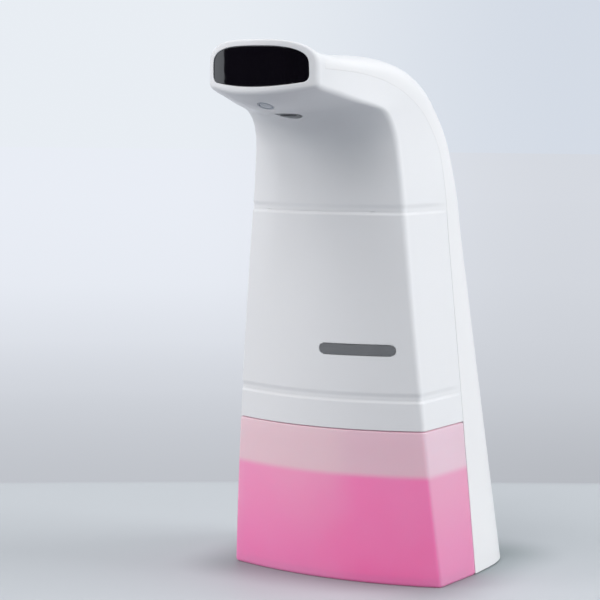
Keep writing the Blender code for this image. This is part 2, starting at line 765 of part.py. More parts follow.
def make_diaphragm():
    disc = cylinder("diaphragm", DIAPHRAGM_RADIUS, DIAPHRAGM_BOTTOM, DIAPHRAGM_TOP,
                    (0, PUMP_Y), RUBBER)
    for i in range(DIAPHRAGM_CUPS):
        angle = math.tau * i / DIAPHRAGM_CUPS
        centre = (DIAPHRAGM_CUP_SPAN * math.sin(angle),
                  PUMP_Y + DIAPHRAGM_CUP_SPAN * math.cos(angle))
        cup = cylinder(f"diaphragm_cup_{i + 1}", DIAPHRAGM_CUP_RADIUS, DIAPHRAGM_BOTTOM
                       + DIAPHRAGM_THICKNESS / 2, DIAPHRAGM_TOP + DIAPHRAGM_CUP_HEIGHT, centre)
        boolean(disc, cup, "UNION")


def make_pump_case():
    inner = PUMP_RADIUS - PUMP_CASE_WALL
    bore = SHAFT_RADIUS + GAP
    roof = PUMP_CASE_HEIGHT - PUMP_CASE_WALL
    profile = [(bore, PUMP_CASE_HEIGHT), (PUMP_RADIUS, PUMP_CASE_HEIGHT), (PUMP_RADIUS, 0),
               (inner, 0), (inner, roof), (bore, roof)]
    turned("pump_case", profile, WHITE, (0, PUMP_Y, CASE_BOTTOM), hollow=True)


def eccentric_levels():
    top = CASE_TOP - PUMP_CASE_WALL - GAP
    bottom = top - ECCENTRIC_THICKNESS
    return top, bottom, bottom - ECCENTRIC_PIN_LENGTH


def make_rocker():
    low = DIAPHRAGM_TOP + DIAPHRAGM_CUP_HEIGHT + GAP
    high = eccentric_levels()[2] - GAP
    shoulder = low + ROCKER_THICKNESS
    profile = [(0, high), (ROCKER_HUB_RADIUS, high), (ROCKER_HUB_RADIUS, shoulder),
               (ROCKER_RADIUS, shoulder), (ROCKER_RADIUS, low), (0, low)]
    turned("rocker_plate", profile, DARK, (0, PUMP_Y, 0))


def make_eccentric():
    top, bottom, pin_end = eccentric_levels()
    shaft_top = MOTOR_BOTTOM + SHAFT_BEARING_LENGTH
    profile = [(0, shaft_top - top), (SHAFT_RADIUS, shaft_top - top), (SHAFT_RADIUS, 0),
               (ECCENTRIC_RADIUS, 0), (ECCENTRIC_RADIUS, bottom - top), (0, bottom - top)]
    wheel = turned("eccentric", profile, STEEL, (0, PUMP_Y, top))
    pin = cylinder("eccentric_pin", ECCENTRIC_PIN_RADIUS, pin_end,
                   blend(bottom, top, 1 / 2), (0, PUMP_Y - ECCENTRIC_THROW))
    boolean(wheel, pin, "UNION")


def make_motor():
    bore, depth = SHAFT_RADIUS + GAP, SHAFT_BEARING_LENGTH + GAP
    rim = MOTOR_RADIUS - MOTOR_EDGE
    profile = [(0, MOTOR_LENGTH + MOTOR_TAIL_LENGTH),
               (MOTOR_TAIL_RADIUS, MOTOR_LENGTH + MOTOR_TAIL_LENGTH),
               (MOTOR_TAIL_RADIUS, MOTOR_LENGTH), (rim, MOTOR_LENGTH),
               (MOTOR_RADIUS, MOTOR_LENGTH - MOTOR_EDGE), (MOTOR_RADIUS, MOTOR_EDGE),
               (rim, 0), (bore, 0), (bore, depth), (0, depth)]
    turned("pump_motor", profile, STEEL, (0, PUMP_Y, MOTOR_BOTTOM))


def make_pickup():
    low = TANK_FLOOR + FILTER_CLEARANCE
    top = low + FILTER_HEIGHT
    cylinder("pickup_filter", FILTER_RADIUS, low, top, (0, PICKUP_Y), WHITE)
    cylinder("pickup_tube", PICKUP_RADIUS, top + GAP, VALVE_BOTTOM - GAP, (0, PICKUP_Y), CLEAR)


# Nozzle, lens and hose in the head
def nozzle_bottom():
    return belly_height(NOZZLE_Y)[0] - NOZZLE_DROP


def make_nozzle():
    neck, collar = NOZZLE_NECK_LENGTH, NOZZLE_NECK_LENGTH + NOZZLE_COLLAR_HEIGHT
    profile = [(0, NOZZLE_HEIGHT), (NOZZLE_BODY_RADIUS, NOZZLE_HEIGHT),
               (NOZZLE_BODY_RADIUS, collar), (NOZZLE_COLLAR_RADIUS, collar),
               (NOZZLE_COLLAR_RADIUS, neck), (NOZZLE_RADIUS, neck), (NOZZLE_RADIUS, 0),
               (NOZZLE_RECESS_RADIUS, 0), (NOZZLE_RECESS_RADIUS, NOZZLE_RECESS_DEPTH),
               (0, NOZZLE_RECESS_DEPTH)]
    turned("foam_nozzle", profile, WHITE, (0, NOZZLE_Y, nozzle_bottom()))
    top = nozzle_bottom() + NOZZLE_RECESS_DEPTH - GAP
    cylinder("foam_mesh", NOZZLE_RECESS_RADIUS - GAP, top - MESH_THICKNESS, top,
             (0, NOZZLE_Y), DARK)


def make_hose():
    """The delivery hose: straight up from the valve block, then a quarter turn to the nozzle."""
    start = VALVE_BOTTOM + OUTLET_EAR_HEIGHT + GAP
    end_y = NOZZLE_Y + NOZZLE_BODY_RADIUS + GAP
    end_z = nozzle_bottom() + NOZZLE_HEIGHT - HOSE_RADIUS - GAP
    turn = end_z - (HOSE_Y - end_y)
    points = [(HOSE_Y, blend(start, turn, i / 4)) for i in range(4)]
    for i in range(ROUND_STEPS // 2 + 1):
        angle = math.pi / 2 * i / (ROUND_STEPS // 2)
        points.append((blend(end_y, HOSE_Y, math.cos(angle)), blend(turn, end_z, math.sin(angle))))
    curve = bpy.data.curves.new("delivery_hose", "CURVE")
    curve.dimensions = "3D"
    spline = curve.splines.new("POLY")
    spline.points.add(len(points) - 1)
    for spot, (y, z) in zip(spline.points, points):
        spot.co = (0, y, z, 1)
    curve.bevel_depth = HOSE_RADIUS
    curve.bevel_resolution = 3
    curve.use_fill_caps = True
    curve.materials.append(CLEAR)
    PARTS.objects.link(bpy.data.objects.new("delivery_hose", curve))


# Window and sensor board in the head's front
def make_window():
    rings = window_rings(WALL + GAP, 0, WINDOW_THICKNESS)
    add_object("sensor_window", loft_mesh("sensor_window", rings, capped=True), BLACK)


def make_sensor_board():
    front = window_front(SENSOR_BOARD_HALF_WIDTH) + WINDOW_THICKNESS + GAP
    middle = side_point(PARTING_SHARES[-1]).y
    low, high = middle - SENSOR_BOARD_HEIGHT / 2, middle + SENSOR_BOARD_HEIGHT / 2
    board = box("sensor_board", (-SENSOR_BOARD_HALF_WIDTH, front, low),
                (SENSOR_BOARD_HALF_WIDTH, front + BOARD_THICKNESS, high), GREEN)
    tip = window_front(LED_SPAN + LED_RADIUS) + WINDOW_THICKNESS + GAP
    for side in (-1, 1):
        led = cylinder(f"led_{side + 2}", LED_RADIUS, tip, front + BOARD_THICKNESS / 2,
                       (side * LED_SPAN, middle), axis="Y")
        boolean(board, led, "UNION")


def make_lens():
    cylinder("chin_lens", LENS_RADIUS, -BADGE_PROUD, LENS_LENGTH, material=DARK, parent=CHIN_FRAME)


# Battery bay along the back
def tray_levels():
    """Depths and ends of the battery tray along the back: open face, cell axis, closed face."""
    inner_low = TRAY_START + TRAY_END
    inner_high = inner_low + CELL_LENGTH + 2 * CONTACT_THICKNESS + 4 * GAP
    corner = BAY_HALF_WIDTH + WALL + GAP
    open_face = -skin_depth(inner_high + TRAY_END, corner) - TRAY_RELIEF
    axis = open_face - CELL_RELIEF - CELL_RADIUS
    closed = axis - CELL_RADIUS - GAP - TRAY_BACK
    return open_face, axis, closed, inner_low, inner_high


def tray_front(height):
    """How far back the tray's closed face is at a level."""
    closed = tray_levels()[2]
    along = (height - closed * math.sin(BACK_LEAN)) / math.cos(BACK_LEAN)
    return back_point(closed, along).y


def cell_places():
    return [(i - (CELL_COUNT - 1) / 2) * TROUGH_PITCH for i in range(CELL_COUNT)]


def trough_cutter(name, x, low, high):
    """A round-bottomed channel for one cell, open at the back."""
    open_face, axis, _, _, _ = tray_levels()
    radius = CELL_RADIUS + GAP

    def build(bm):
        points = [(x - radius, open_face + GAP)]
        for i in range(ROUND_STEPS // 2 + 1):
            angle = math.pi + math.pi * i / (ROUND_STEPS // 2)
            points.append((x + radius * math.cos(angle), axis + radius * math.sin(angle)))
        points.append((x + radius, open_face + GAP))
        face = bm.faces.new([bm.verts.new((px, py, low)) for px, py in points])
        grown = bmesh.ops.extrude_face_region(bm, geom=[face])
        moved = [v for v in grown["geom"] if isinstance(v, bmesh.types.BMVert)]
        bmesh.ops.translate(bm, vec=(0, 0, high - low), verts=moved)
        bmesh.ops.recalc_face_normals(bm, faces=bm.faces)
    return add_object(name, mesh_from(name, build, smooth=False), parent=BACK_FRAME)


def make_battery_tray():
    open_face, axis, closed, low, high = tray_levels()
    half = BAY_HALF_WIDTH
    tray = box("battery_tray", (-half, closed, TRAY_START), (half, open_face, high + TRAY_END),
               DARK, BACK_FRAME)
    for i, x in enumerate(cell_places()):
        boolean(tray, trough_cutter(f"trough_{i + 1}", x, low + GAP, high - GAP))
    bay = CONTACT_THICKNESS + 2 * GAP
    inner = half - TROUGH_WALL
    for name, start in (("low_bay", low), ("high_bay", high - bay)):
        boolean(tray, box(name, (-inner, axis - CELL_RADIUS, start),
                          (inner, open_face + GAP, start + bay), parent=BACK_FRAME))
    for name, start in (("lower_contacts", low + GAP), ("upper_contacts", high - bay + GAP)):
        box(name, (-inner + GAP, axis - CELL_RADIUS + GAP, start),
            (inner - GAP, open_face - GAP, start + CONTACT_THICKNESS), BRASS, BACK_FRAME)


def make_cells():
    _, axis, _, low, high = tray_levels()
    shoulder = CELL_LENGTH - CELL_TERMINAL_LENGTH
    profile = [(0, CELL_LENGTH), (CELL_TERMINAL_RADIUS, CELL_LENGTH),
               (CELL_TERMINAL_RADIUS, shoulder), (CELL_RADIUS, shoulder), (CELL_RADIUS, 0), (0, 0)]
    clear = CONTACT_THICKNESS + 2 * GAP
    for i, x in enumerate(cell_places()):
        flipped = i % 2 == 1
        start = high - clear if flipped else low + clear
        cell = turned(f"cell_{i + 1}", profile, CELL, (x, axis, start), BACK_FRAME)
        if flipped:
            cell.rotation_euler = (math.pi, 0, 0)


def door_levels():
    return TRAY_START - DOOR_OVERLAP, tray_levels()[4] + TRAY_END + DOOR_OVERLAP


def door_zone(name, margin):
    low, high = door_levels()
    half = BAY_HALF_WIDTH + DOOR_MARGIN + margin
    return box(name, (-half, -2 * WALL, low - margin), (half, 2 * WALL, high + margin),
               parent=BACK_FRAME)


def back_point(depth, along):
    """World place of a point given by its depth from the back and its distance up along it."""
    turn = Matrix.Rotation(BACK_LEAN, 3, "X")
    return Vector((0, BASE_BACK, 0)) + turn @ Vector((0, depth, along))


def make_battery_door():
    door = skin_object("battery_door", WHITE, WALL)
    boolean(door, door_zone("door_outline", 0), "INTERSECT")
    hinge = back_point(0, door_levels()[0])
    door.data.transform(Matrix.Translation(-hinge))
    door.location = hinge


# Button, switch and main board along the back
def make_button():
    seat = -(WALL + GAP)
    inner = seat - BUTTON_FLANGE_THICKNESS
    flange = BUTTON_RADIUS + BUTTON_FLANGE
    profile = [(0, BUTTON_PROUD), (BUTTON_RADIUS - GAP, BUTTON_PROUD),
               (BUTTON_RADIUS, BUTTON_PROUD - GAP), (BUTTON_RADIUS, seat), (flange, seat),
               (flange, inner), (0, inner)]
    button = turned("power_button", profile, GREY, (0, 0, BUTTON_LEVEL), BACK_FRAME)
    button.rotation_euler = (-math.pi / 2, 0, 0)
    face = inner - BUTTON_TRAVEL - GAP
    base = face - SWITCH_DEPTH
    box("power_switch", (-SWITCH_HALF_WIDTH, base, BUTTON_LEVEL - SWITCH_HALF_WIDTH),
        (SWITCH_HALF_WIDTH, face, BUTTON_LEVEL + SWITCH_HALF_WIDTH), DARK, BACK_FRAME)
    low = tray_levels()[4] + TRAY_END + GAP
    box("main_board", (-MAIN_BOARD_HALF_WIDTH, base - GAP - MAIN_BOARD_THICKNESS, low),
        (MAIN_BOARD_HALF_WIDTH, base - GAP, low + MAIN_BOARD_LENGTH), GREEN, BACK_FRAME)


# Sole and feet under the spine
def make_sole():
    margin = WALL + GAP
    top = SOLE_HEIGHT + SOLE_THICKNESS
    rings = [level_ring(SOLE_HEIGHT, margin), level_ring(top, margin)]
    sole = add_object("spine_sole", loft_mesh("spine_sole", rings, capped=True), WHITE)
    far = BASE_HALF_WIDTH + OVERRUN
    boolean(sole, box("tank_side_cut", (-far, -far, -OVERRUN), (far, TANK_REAR + GAP, OVERRUN)))
    for side, name in ((-1, "rear_foot_left"), (1, "rear_foot_right")):
        cylinder(name, FOOT_RADIUS, 0, SOLE_HEIGHT - GAP,
                 (side * FOOT_SPAN, BASE_BACK - FOOT_FROM_BACK), RUBBER)


LENS_LEVEL, CHIN_SLOPE = belly_height(LENS_Y)
CHIN_FRAME = add_empty("chin_frame", (0, LENS_Y, LENS_LEVEL), -CHIN_SLOPE)
BACK_FRAME = add_empty("back_frame", (0, BASE_BACK, 0), BACK_LEAN)
BUTTON_LEVEL = blend(door_levels()[1], BACK_LENGTH, BUTTON_LEVEL_SHARE)
PUMP_Y = tray_front(MOTOR_BOTTOM + MOTOR_LENGTH) - MOTOR_FROM_TRAY - MOTOR_RADIUS
HOSE_Y = PUMP_Y - HOSE_FROM_PUMP
PICKUP_Y = PUMP_Y + PICKUP_FROM_PUMP

make_tank()
make_gasket()
make_lower_collar()
make_middle_panel()
make_badge()
make_upper_shell()
make_back_cover()
make_window()
make_sensor_board()
make_lens()
make_nozzle()
make_hose()
make_deck()
make_screws()
make_valve_block()
make_diaphragm()
make_rocker()
make_pump_case()
make_eccentric()
make_motor()
make_pickup()
make_battery_tray()
make_cells()
make_battery_door()
make_button()
make_sole()
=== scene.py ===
# %% [markdown]
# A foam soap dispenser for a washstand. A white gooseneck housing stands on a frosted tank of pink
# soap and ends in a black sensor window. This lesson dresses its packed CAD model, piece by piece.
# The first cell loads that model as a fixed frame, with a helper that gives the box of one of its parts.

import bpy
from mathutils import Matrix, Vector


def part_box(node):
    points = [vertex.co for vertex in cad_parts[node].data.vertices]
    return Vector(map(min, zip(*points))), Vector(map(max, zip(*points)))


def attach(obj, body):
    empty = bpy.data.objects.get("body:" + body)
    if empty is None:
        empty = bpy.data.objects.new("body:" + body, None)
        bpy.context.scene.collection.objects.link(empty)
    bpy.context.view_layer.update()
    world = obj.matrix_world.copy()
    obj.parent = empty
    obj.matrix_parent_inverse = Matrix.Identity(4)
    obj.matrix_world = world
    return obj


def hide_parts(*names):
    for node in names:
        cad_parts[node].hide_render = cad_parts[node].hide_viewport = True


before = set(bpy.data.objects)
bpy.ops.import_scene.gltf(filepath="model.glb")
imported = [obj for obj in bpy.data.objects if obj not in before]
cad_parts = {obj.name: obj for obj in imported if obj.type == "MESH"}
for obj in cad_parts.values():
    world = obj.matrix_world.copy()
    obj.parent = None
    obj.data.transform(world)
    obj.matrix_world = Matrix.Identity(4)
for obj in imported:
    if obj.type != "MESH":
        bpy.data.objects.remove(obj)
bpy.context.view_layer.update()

# %% [markdown]
# Blender works in metres, and a hand-sized thing is easier to think about in millimetres. So every
# size below is written in millimetres and multiplied by MM.

# %% Tools and the millimetre
import math

import bmesh
import bpy
import numpy as np
from mathutils import Matrix, Vector

MM = 0.001
print("one millimetre is", MM, "metres")

# %% [markdown]
# The housing and the tank share one skin, which the CAD model builds from a few driving sizes. A
# scene has to rebuild that skin with many more points, so the same sizes are named again here.
# The origin is on the floor under the tank, the front faces -Y, and x = 0 is the middle.

# %% Driving sizes of the skin
TANK_HEIGHT = 58 * MM
BEND_HEIGHT = TANK_HEIGHT + 91 * MM
HEAD_RISE = 51 * MM
REACH = 74.8 * MM
BASE_HALF_WIDTH = 46.8 * MM
NECK_HALF_WIDTH = 34.3 * MM
RIM_HALF_WIDTH = 22.2 * MM
BASE_BACK = 41.3 * MM
NECK_BACK = 15.5 * MM
BASE_CORNER_HALF_WIDTH = 44.7 * MM
NECK_CORNER_HALF_WIDTH = 31.3 * MM
BASE_CORNER_FRONT = 24.8 * MM
NECK_CORNER_FRONT = 30.4 * MM
BASE_FRONT_BULGE = 7.4 * MM
NECK_FRONT_BULGE = 10.0 * MM
NECK_PARTING_LEAN = 2.5 * MM
RIM_FORWARD_BULGE = 6.5 * MM
BACK_EXPONENT = 4.0
RIM_EXPONENT = 3.0
FRONT_LEAN_SHARE = 0.87
HEAD_TAPER_POWER = 1.15
BULGE_POWER = 1.7
WALL = 2.2 * MM
GAP = 0.3 * MM
COLLAR_BOTTOM = TANK_HEIGHT + 0.35 * MM
LOWER_GROOVE = TANK_HEIGHT + 11.5 * MM
UPPER_GROOVE = BEND_HEIGHT - 11.2 * MM
BACK_LEAN = math.atan2(BASE_BACK - NECK_BACK, BEND_HEIGHT)
print("bend at", round(BEND_HEIGHT / MM, 1), "mm, back leans", round(math.degrees(BACK_LEAN), 1))

# %% [markdown]
# In side view the bend and the head are drawn by four lines: the belly under the middle, the
# edge where front and side meet, the parting line between front shell and back cover, and the
# crown along the top. Each point is a share of the reach forward and of the rise above the bend.

# %% Side view of the bend and head
EDGE_SHARES = [(.413, .157), (.428, .325), (.465, .431), (.516, .498), (.602, .537),
               (.715, .571), (.866, .625), (.956, .653), (1, .673)]
BELLY_SHARES = [(.545, .137), (.564, .265), (.602, .359), (.662, .427), (.749, .471),
                (.822, .490), (.889, .522), (.949, .573), (1, .627)]
PARTING_SHARES = [(.045, .196), (.107, .373), (.187, .500), (.301, .600), (.455, .690),
                  (.628, .749), (.822, .780), (.943, .790), (1, .794)]
CROWN_SHARES = [(-.144, .296), (-.060, .510), (.040, .682), (.187, .808), (.400, .882),
                (.607, .892), (.818, .906), (.943, .951), (1, 1)]
HEAD_ROWS = len(EDGE_SHARES)


def mix(start, end, share):
    return start + (end - start) * share


def side_point(shares):
    return (-REACH * shares[0], BEND_HEIGHT + HEAD_RISE * shares[1])


print("head rows:", HEAD_ROWS, "crown ends at", side_point(CROWN_SHARES[-1]))

# %% [markdown]
# A row holds everything about one slice of the skin: the four side-view points, the half-widths
# at edge and parting, how square the back is, and how far the middle swells forward. The tower's
# rows follow a formula of the height. The head's rows come from the four lines above.


# %% Rows of the tower and of the head
def tower_row(height):
    share = height / BEND_HEIGHT
    straight = max(0.0, 1 - share / FRONT_LEAN_SHARE)
    corner = -mix(NECK_CORNER_FRONT, BASE_CORNER_FRONT, straight ** 2)
    bulge = mix(BASE_FRONT_BULGE, NECK_FRONT_BULGE, min(share, 1))
    crown = mix(BASE_BACK, NECK_BACK, share)
    return np.array([corner - bulge, height, corner, height, -NECK_PARTING_LEAN * share, height,
                     crown, height, mix(BASE_CORNER_HALF_WIDTH, NECK_CORNER_HALF_WIDTH, share),
                     mix(BASE_HALF_WIDTH, NECK_HALF_WIDTH, share), BACK_EXPONENT, 0.0])


def head_row(index):
    edge = side_point(EDGE_SHARES[index])
    along = (index + 1) / HEAD_ROWS
    left = max(0.0, (REACH + edge[0]) / (REACH - NECK_CORNER_FRONT))
    taper = mix(RIM_HALF_WIDTH, NECK_CORNER_HALF_WIDTH, left ** HEAD_TAPER_POWER)
    edge_width = max(min(taper, tower_row(edge[1])[8]), RIM_HALF_WIDTH)
    flare = (NECK_HALF_WIDTH - NECK_CORNER_HALF_WIDTH) * (1 - along) ** 2
    forward = RIM_FORWARD_BULGE * max(0.0, 1 - left) ** BULGE_POWER
    return np.array([*side_point(BELLY_SHARES[index]), *edge, *side_point(PARTING_SHARES[index]),
                     *side_point(CROWN_SHARES[index]), edge_width, edge_width + flare,
                     mix(BACK_EXPONENT, RIM_EXPONENT, along), forward])


print("rim half-width:", round(head_row(HEAD_ROWS - 1)[8] / MM, 2), "mm")

# %% [markdown]
# A station is a place along the skin: the height in the tower, and from the bend on the length
# travelled towards the rim. Between the rows a cubic curve runs through all of them, so that the
# bend is smooth where the CAD model has facets.

# %% A smooth row at any station
TOWER_KNOTS = (.55, .7, .85, 1)
knot_rows = np.array([tower_row(BEND_HEIGHT * share) for share in TOWER_KNOTS]
                     + [head_row(index) for index in range(HEAD_ROWS)])
travelled = np.linalg.norm(np.diff((knot_rows[:, 2:4] + knot_rows[:, 4:6]) / 2, axis=0), axis=1)
knot_stations = np.concatenate([[0], np.cumsum(travelled)])
knot_stations += BEND_HEIGHT - knot_stations[len(TOWER_KNOTS) - 1]
spans = np.diff(knot_stations)[:, None]
slopes = np.diff(knot_rows, axis=0) / spans
inner_slopes = (slopes[1:] * spans[:-1] + slopes[:-1] * spans[1:]) / (spans[1:] + spans[:-1])
knot_slopes = np.vstack([slopes[:1], inner_slopes, slopes[-1:]])
RIM_STATION = knot_stations[-1]
COVER_END_STATION = knot_stations[-2]


def skin_row(station):
    if station <= knot_stations[1]:
        return tower_row(station)
    low = int(np.clip(np.searchsorted(knot_stations, station) - 1, 0, len(spans) - 1))
    span = spans[low, 0]
    t = (station - knot_stations[low]) / span
    return ((2 * t ** 3 - 3 * t ** 2 + 1) * knot_rows[low]
            + (t ** 3 - 2 * t ** 2 + t) * span * knot_slopes[low]
            + (3 * t ** 2 - 2 * t ** 3) * knot_rows[low + 1]
            + (t ** 3 - t ** 2) * span * knot_slopes[low + 1])


print("stations run from 0 to", round(RIM_STATION / MM, 1), "mm")

# %% [markdown]
# Around the object, the front is a shallow curve, and a soft corner leads into the side, which
# runs to the parting line. Behind it the back is a superellipse: a rounded box whose corners grow
# rounder towards the head. The right half is worked out, and the left half mirrors it.

# %% Points around a row
CORNER_FILLET = 1.5 * MM
FILLET_SHARE = 0.42
FRONT_POINTS = 17
FILLET_POINTS = 7
SIDE_POINTS = 8
SHOULDER_POINTS = 14
BACK_POINTS = 14
BACK_SPLIT = 28 * MM
SPLIT_SHARE = 0.76


def curve_through(start, corner, end, count):
    """Points of a soft corner, without its first one."""
    s = np.linspace(0, 1, count + 1)[1:, None]
    return (1 - s) ** 2 * start + 2 * s * (1 - s) * corner + s ** 2 * end


def swell(points, row):
    widest = max(row[8], row[9])
    points[:, 1] -= row[11] * (1 - (points[:, 0] / widest) ** 2)
    return points


print("a soft corner has", FILLET_POINTS, "points")

# %% [markdown]
# Each half starts in the middle of the front or of the back and stops a hair before the parting
# line, where front shell and back cover meet. A small fillet softens the front's corner.


# %% Front half and back half
def front_half(row, seam):
    """From the middle of the front to a seam's half-gap before the parting line."""
    belly, edge, parting = row[0:2], row[2:4], row[4:6]
    corner = np.array([row[8], *edge])
    end = np.array([row[9], *parting])
    length = np.linalg.norm(end - corner)
    fillet = min(CORNER_FILLET, FILLET_SHARE * length)
    across = np.linspace(0, 1 - fillet / row[8], FRONT_POINTS)[:, None]
    front = np.hstack([row[8] * across, edge + (belly - edge) * (1 - across ** 2)])
    leave = corner + (end - corner) * fillet / length
    stop = end + (corner - end) * seam / length
    soft = curve_through(front[-1], corner, leave, FILLET_POINTS)
    side = leave + (stop - leave) * np.linspace(0, 1, SIDE_POINTS + 1)[1:, None]
    return swell(np.vstack([front, soft, side]), row)


def back_half(row, seam):
    """From the middle of the back to a seam's half-gap behind the parting line."""
    parting, crown, wide, power = row[4:6], row[6:8], row[9], row[10]
    depth = np.linalg.norm(crown - parting)
    split = min(BACK_SPLIT, SPLIT_SHARE * wide)
    start = math.asin((seam / depth) ** (power / 2))
    turn = math.acos((split / wide) ** (power / 2))
    shoulder = wide * np.cos(np.linspace(turn, start, SHOULDER_POINTS + 1)[1:]) ** (2 / power)
    x = np.concatenate([np.linspace(0, split, BACK_POINTS + 1), shoulder])[:, None]
    share = np.maximum(1 - (x / wide) ** power, 0) ** (1 / power)
    return swell(np.hstack([x, parting + (crown - parting) * share]), row)


def mirrored(half):
    return np.vstack([half[:0:-1] * (-1, 1, 1), half])


row_middle = skin_row(BEND_HEIGHT)
print("points in a row:", len(mirrored(front_half(row_middle, 0))), "in front,",
      len(mirrored(back_half(row_middle, 0))), "behind")

# %% [markdown]
# Where a patch of the skin has to be reached by its x and its height, or by its x and its depth
# under the head, three small functions give the missing coordinate. Two of them halve a range of
# stations until it closes on the right one.

# %% The skin as a surface
HALVINGS = 26


def front_depth(x, z):
    row = tower_row(z)
    return row[2] + (row[0] - row[2]) * (1 - (x / row[8]) ** 2)


def back_depth(x, z):
    low, high = 0.9 * z, 1.1 * z
    for step in range(HALVINGS):
        middle = (low + high) / 2
        row = skin_row(middle)
        share = max(1 - (abs(x) / row[9]) ** row[10], 0) ** (1 / row[10])
        low, high = (middle, high) if mix(row[5], row[7], share) < z else (low, middle)
    return mix(row[4], row[6], share)


def belly_height(x, y):
    low, high = BEND_HEIGHT, RIM_STATION
    for step in range(HALVINGS):
        middle = (low + high) / 2
        row = skin_row(middle)
        bow = 1 - (x / row[8]) ** 2
        depth = row[2] + (row[0] - row[2]) * bow - row[11] * (1 - (x / row[9]) ** 2)
        low, high = (middle, high) if depth > y else (low, middle)
    return row[3] + (row[1] - row[3]) * bow


NOZZLE_Y = -57.5 * MM
LENS_Y = -73 * MM
print("underside over the hand:", round(belly_height(0, NOZZLE_Y) / MM, 2), "mm")

# %% [markdown]
# A moulded shell starts as a sheet: a grid of points in which blocks of faces can be left out. A
# hole with a clean round rim can't follow a square grid. So a block round it is taken out, and
# rings of faces lead from the block's border in to the hole. Every hole in this lesson is made so.
# A point may also be recessed, for a groove's flank or a pocket, without changing the inner wall.


# %% Sheets and the holes in them
def new_sheet(grid=np.zeros((1, 1, 3))):
    rows, columns = grid.shape[:2]
    return {"points": list(grid.reshape(-1, 3)), "faces": [], "recess": {}, "backs": {},
            "index": np.arange(rows * columns).reshape(rows, columns),
            "kept": np.ones((rows - 1, columns - 1), bool)}


def add_ring(sheet, before, spots, recess=0.0):
    """Adds a ring of points and the faces that lead to it from the ring before."""
    first = len(sheet["points"])
    now = list(range(first, first + len(spots)))
    sheet["points"] += [np.array(spot) for spot in spots]
    sheet["recess"].update(dict.fromkeys(now, recess))
    sheet["faces"] += [(before[k - 1], before[k], now[k], now[k - 1]) for k in range(len(before))]
    return now


def close_ring(sheet, ring, middle, recess=0.0):
    """Closes a ring of an even number of points on one point in its middle."""
    centre = len(sheet["points"])
    sheet["points"].append(np.array(middle))
    sheet["recess"][centre] = recess
    sheet["faces"] += [(ring[k - 2], ring[k - 1], ring[k], centre) for k in range(0, len(ring), 2)]


print("a sheet holds", ", ".join(new_sheet()))

# %% [markdown]
# The outline of a hole is a rounded rectangle, and a circle is one whose corners are as round as
# they can be. The border of the block is led to it in a few even steps. A pocket gets a floor,
# a little smaller than its mouth, because a mould needs that draft.

# %% Holes and pockets
POCKET_DRAFT = 6
POCKET_SHARES = (1, 0.6, 0.3)


def rounded_square(direction, half, radius):
    """Places on a rounded rectangle about (0, 0), one for each direction."""
    square = direction / np.abs(direction).max(axis=1)[:, None]
    half = np.array(half)
    spot = square * half
    past = np.maximum(np.abs(spot) - (half - radius), 0)
    length = np.maximum(np.linalg.norm(past, axis=1), MM / 1e6)
    eased = np.sign(spot) * (half - radius + radius * past / length[:, None])
    return np.where((past > 0).all(axis=1)[:, None], eased, spot)


def punch(sheet, rows, columns, centre, half, radius, plane, lift, rings=4, floor=0.0):
    """Leads a block of the sheet in to a rounded hole, or to a pocket with a floor."""
    (low, high), (left, right) = rows, columns
    index = sheet["index"]
    border = [*index[low, left:right], *index[low:high, right],
              *index[high, right:left:-1], *index[high:low:-1, left]]
    flat = np.array([sheet["points"][k] for k in border])[:, plane] - centre
    ways = flat / np.abs(flat).max(axis=0)
    goal = rounded_square(ways, half, radius)
    before = border
    for share in np.linspace(0, 1, rings + 1)[1:]:
        spots = flat + (goal - flat) * share + centre
        before = add_ring(sheet, before, [lift(*spot) for spot in spots])
    if floor:
        draft = floor / POCKET_DRAFT
        bottom = rounded_square(ways, np.array(half) - draft, max(radius - draft, 0))
        for share in POCKET_SHARES:
            before = add_ring(sheet, before, [lift(*spot) for spot in bottom * share + centre], floor)
        close_ring(sheet, before, lift(*centre), floor)
    sheet["kept"][low:high, left:right] = False


print("a pocket's rings:", POCKET_SHARES)

# %% [markdown]
# Which rows and columns make up a block is read from the places of the grid's lines. At the end
# a sheet is turned into plain lists: all its points, the faces that are kept, and the recesses.


# %% Blocks, and what a sheet amounts to
def block(values, middle, reach):
    """First and last places of a growing list that lie just outside a range."""
    first = max(i for i, value in enumerate(values) if value <= middle - reach)
    last = min(i for i, value in enumerate(values) if value >= middle + reach)
    return first, last


def sheet_parts(sheet):
    index = sheet["index"]
    faces = [(index[i, j], index[i, j + 1], index[i + 1, j + 1], index[i + 1, j])
             for i, j in zip(*np.nonzero(sheet["kept"]))]
    recess = np.zeros(len(sheet["points"]))
    for place, depth in sheet["recess"].items():
        recess[place] = depth
    return np.array(sheet["points"]), faces + sheet["faces"], recess


print("block of a range:", block([0, 1, 2, 3, 4], 2, 0.5))

# %% [markdown]
# A sheet becomes a wall when a second skin lies inside it. Solidify would do it, but moulded
# plastic has soft edges whose size differs from place to place. So the wall is made here, and
# every rim edge is given a bevel weight, which the Bevel modifier then follows.

# %% Normals of a sheet
EDGE_ROUND = 1.3 * MM
SHARP_TURN = math.radians(40)
TINY = 1e-12


def sheet_normals(points, faces):
    quads = np.array(faces)
    across = np.cross(points[quads[:, 2]] - points[quads[:, 0]],
                      points[quads[:, 3]] - points[quads[:, 1]])
    normals = np.zeros_like(points)
    for corner in range(4):
        np.add.at(normals, quads[:, corner], across)
    return normals / np.maximum(np.linalg.norm(normals, axis=1), TINY)[:, None]


def finished(name, bm):
    mesh = bpy.data.meshes.new(name)
    bm.to_mesh(mesh)
    bm.free()
    return mesh


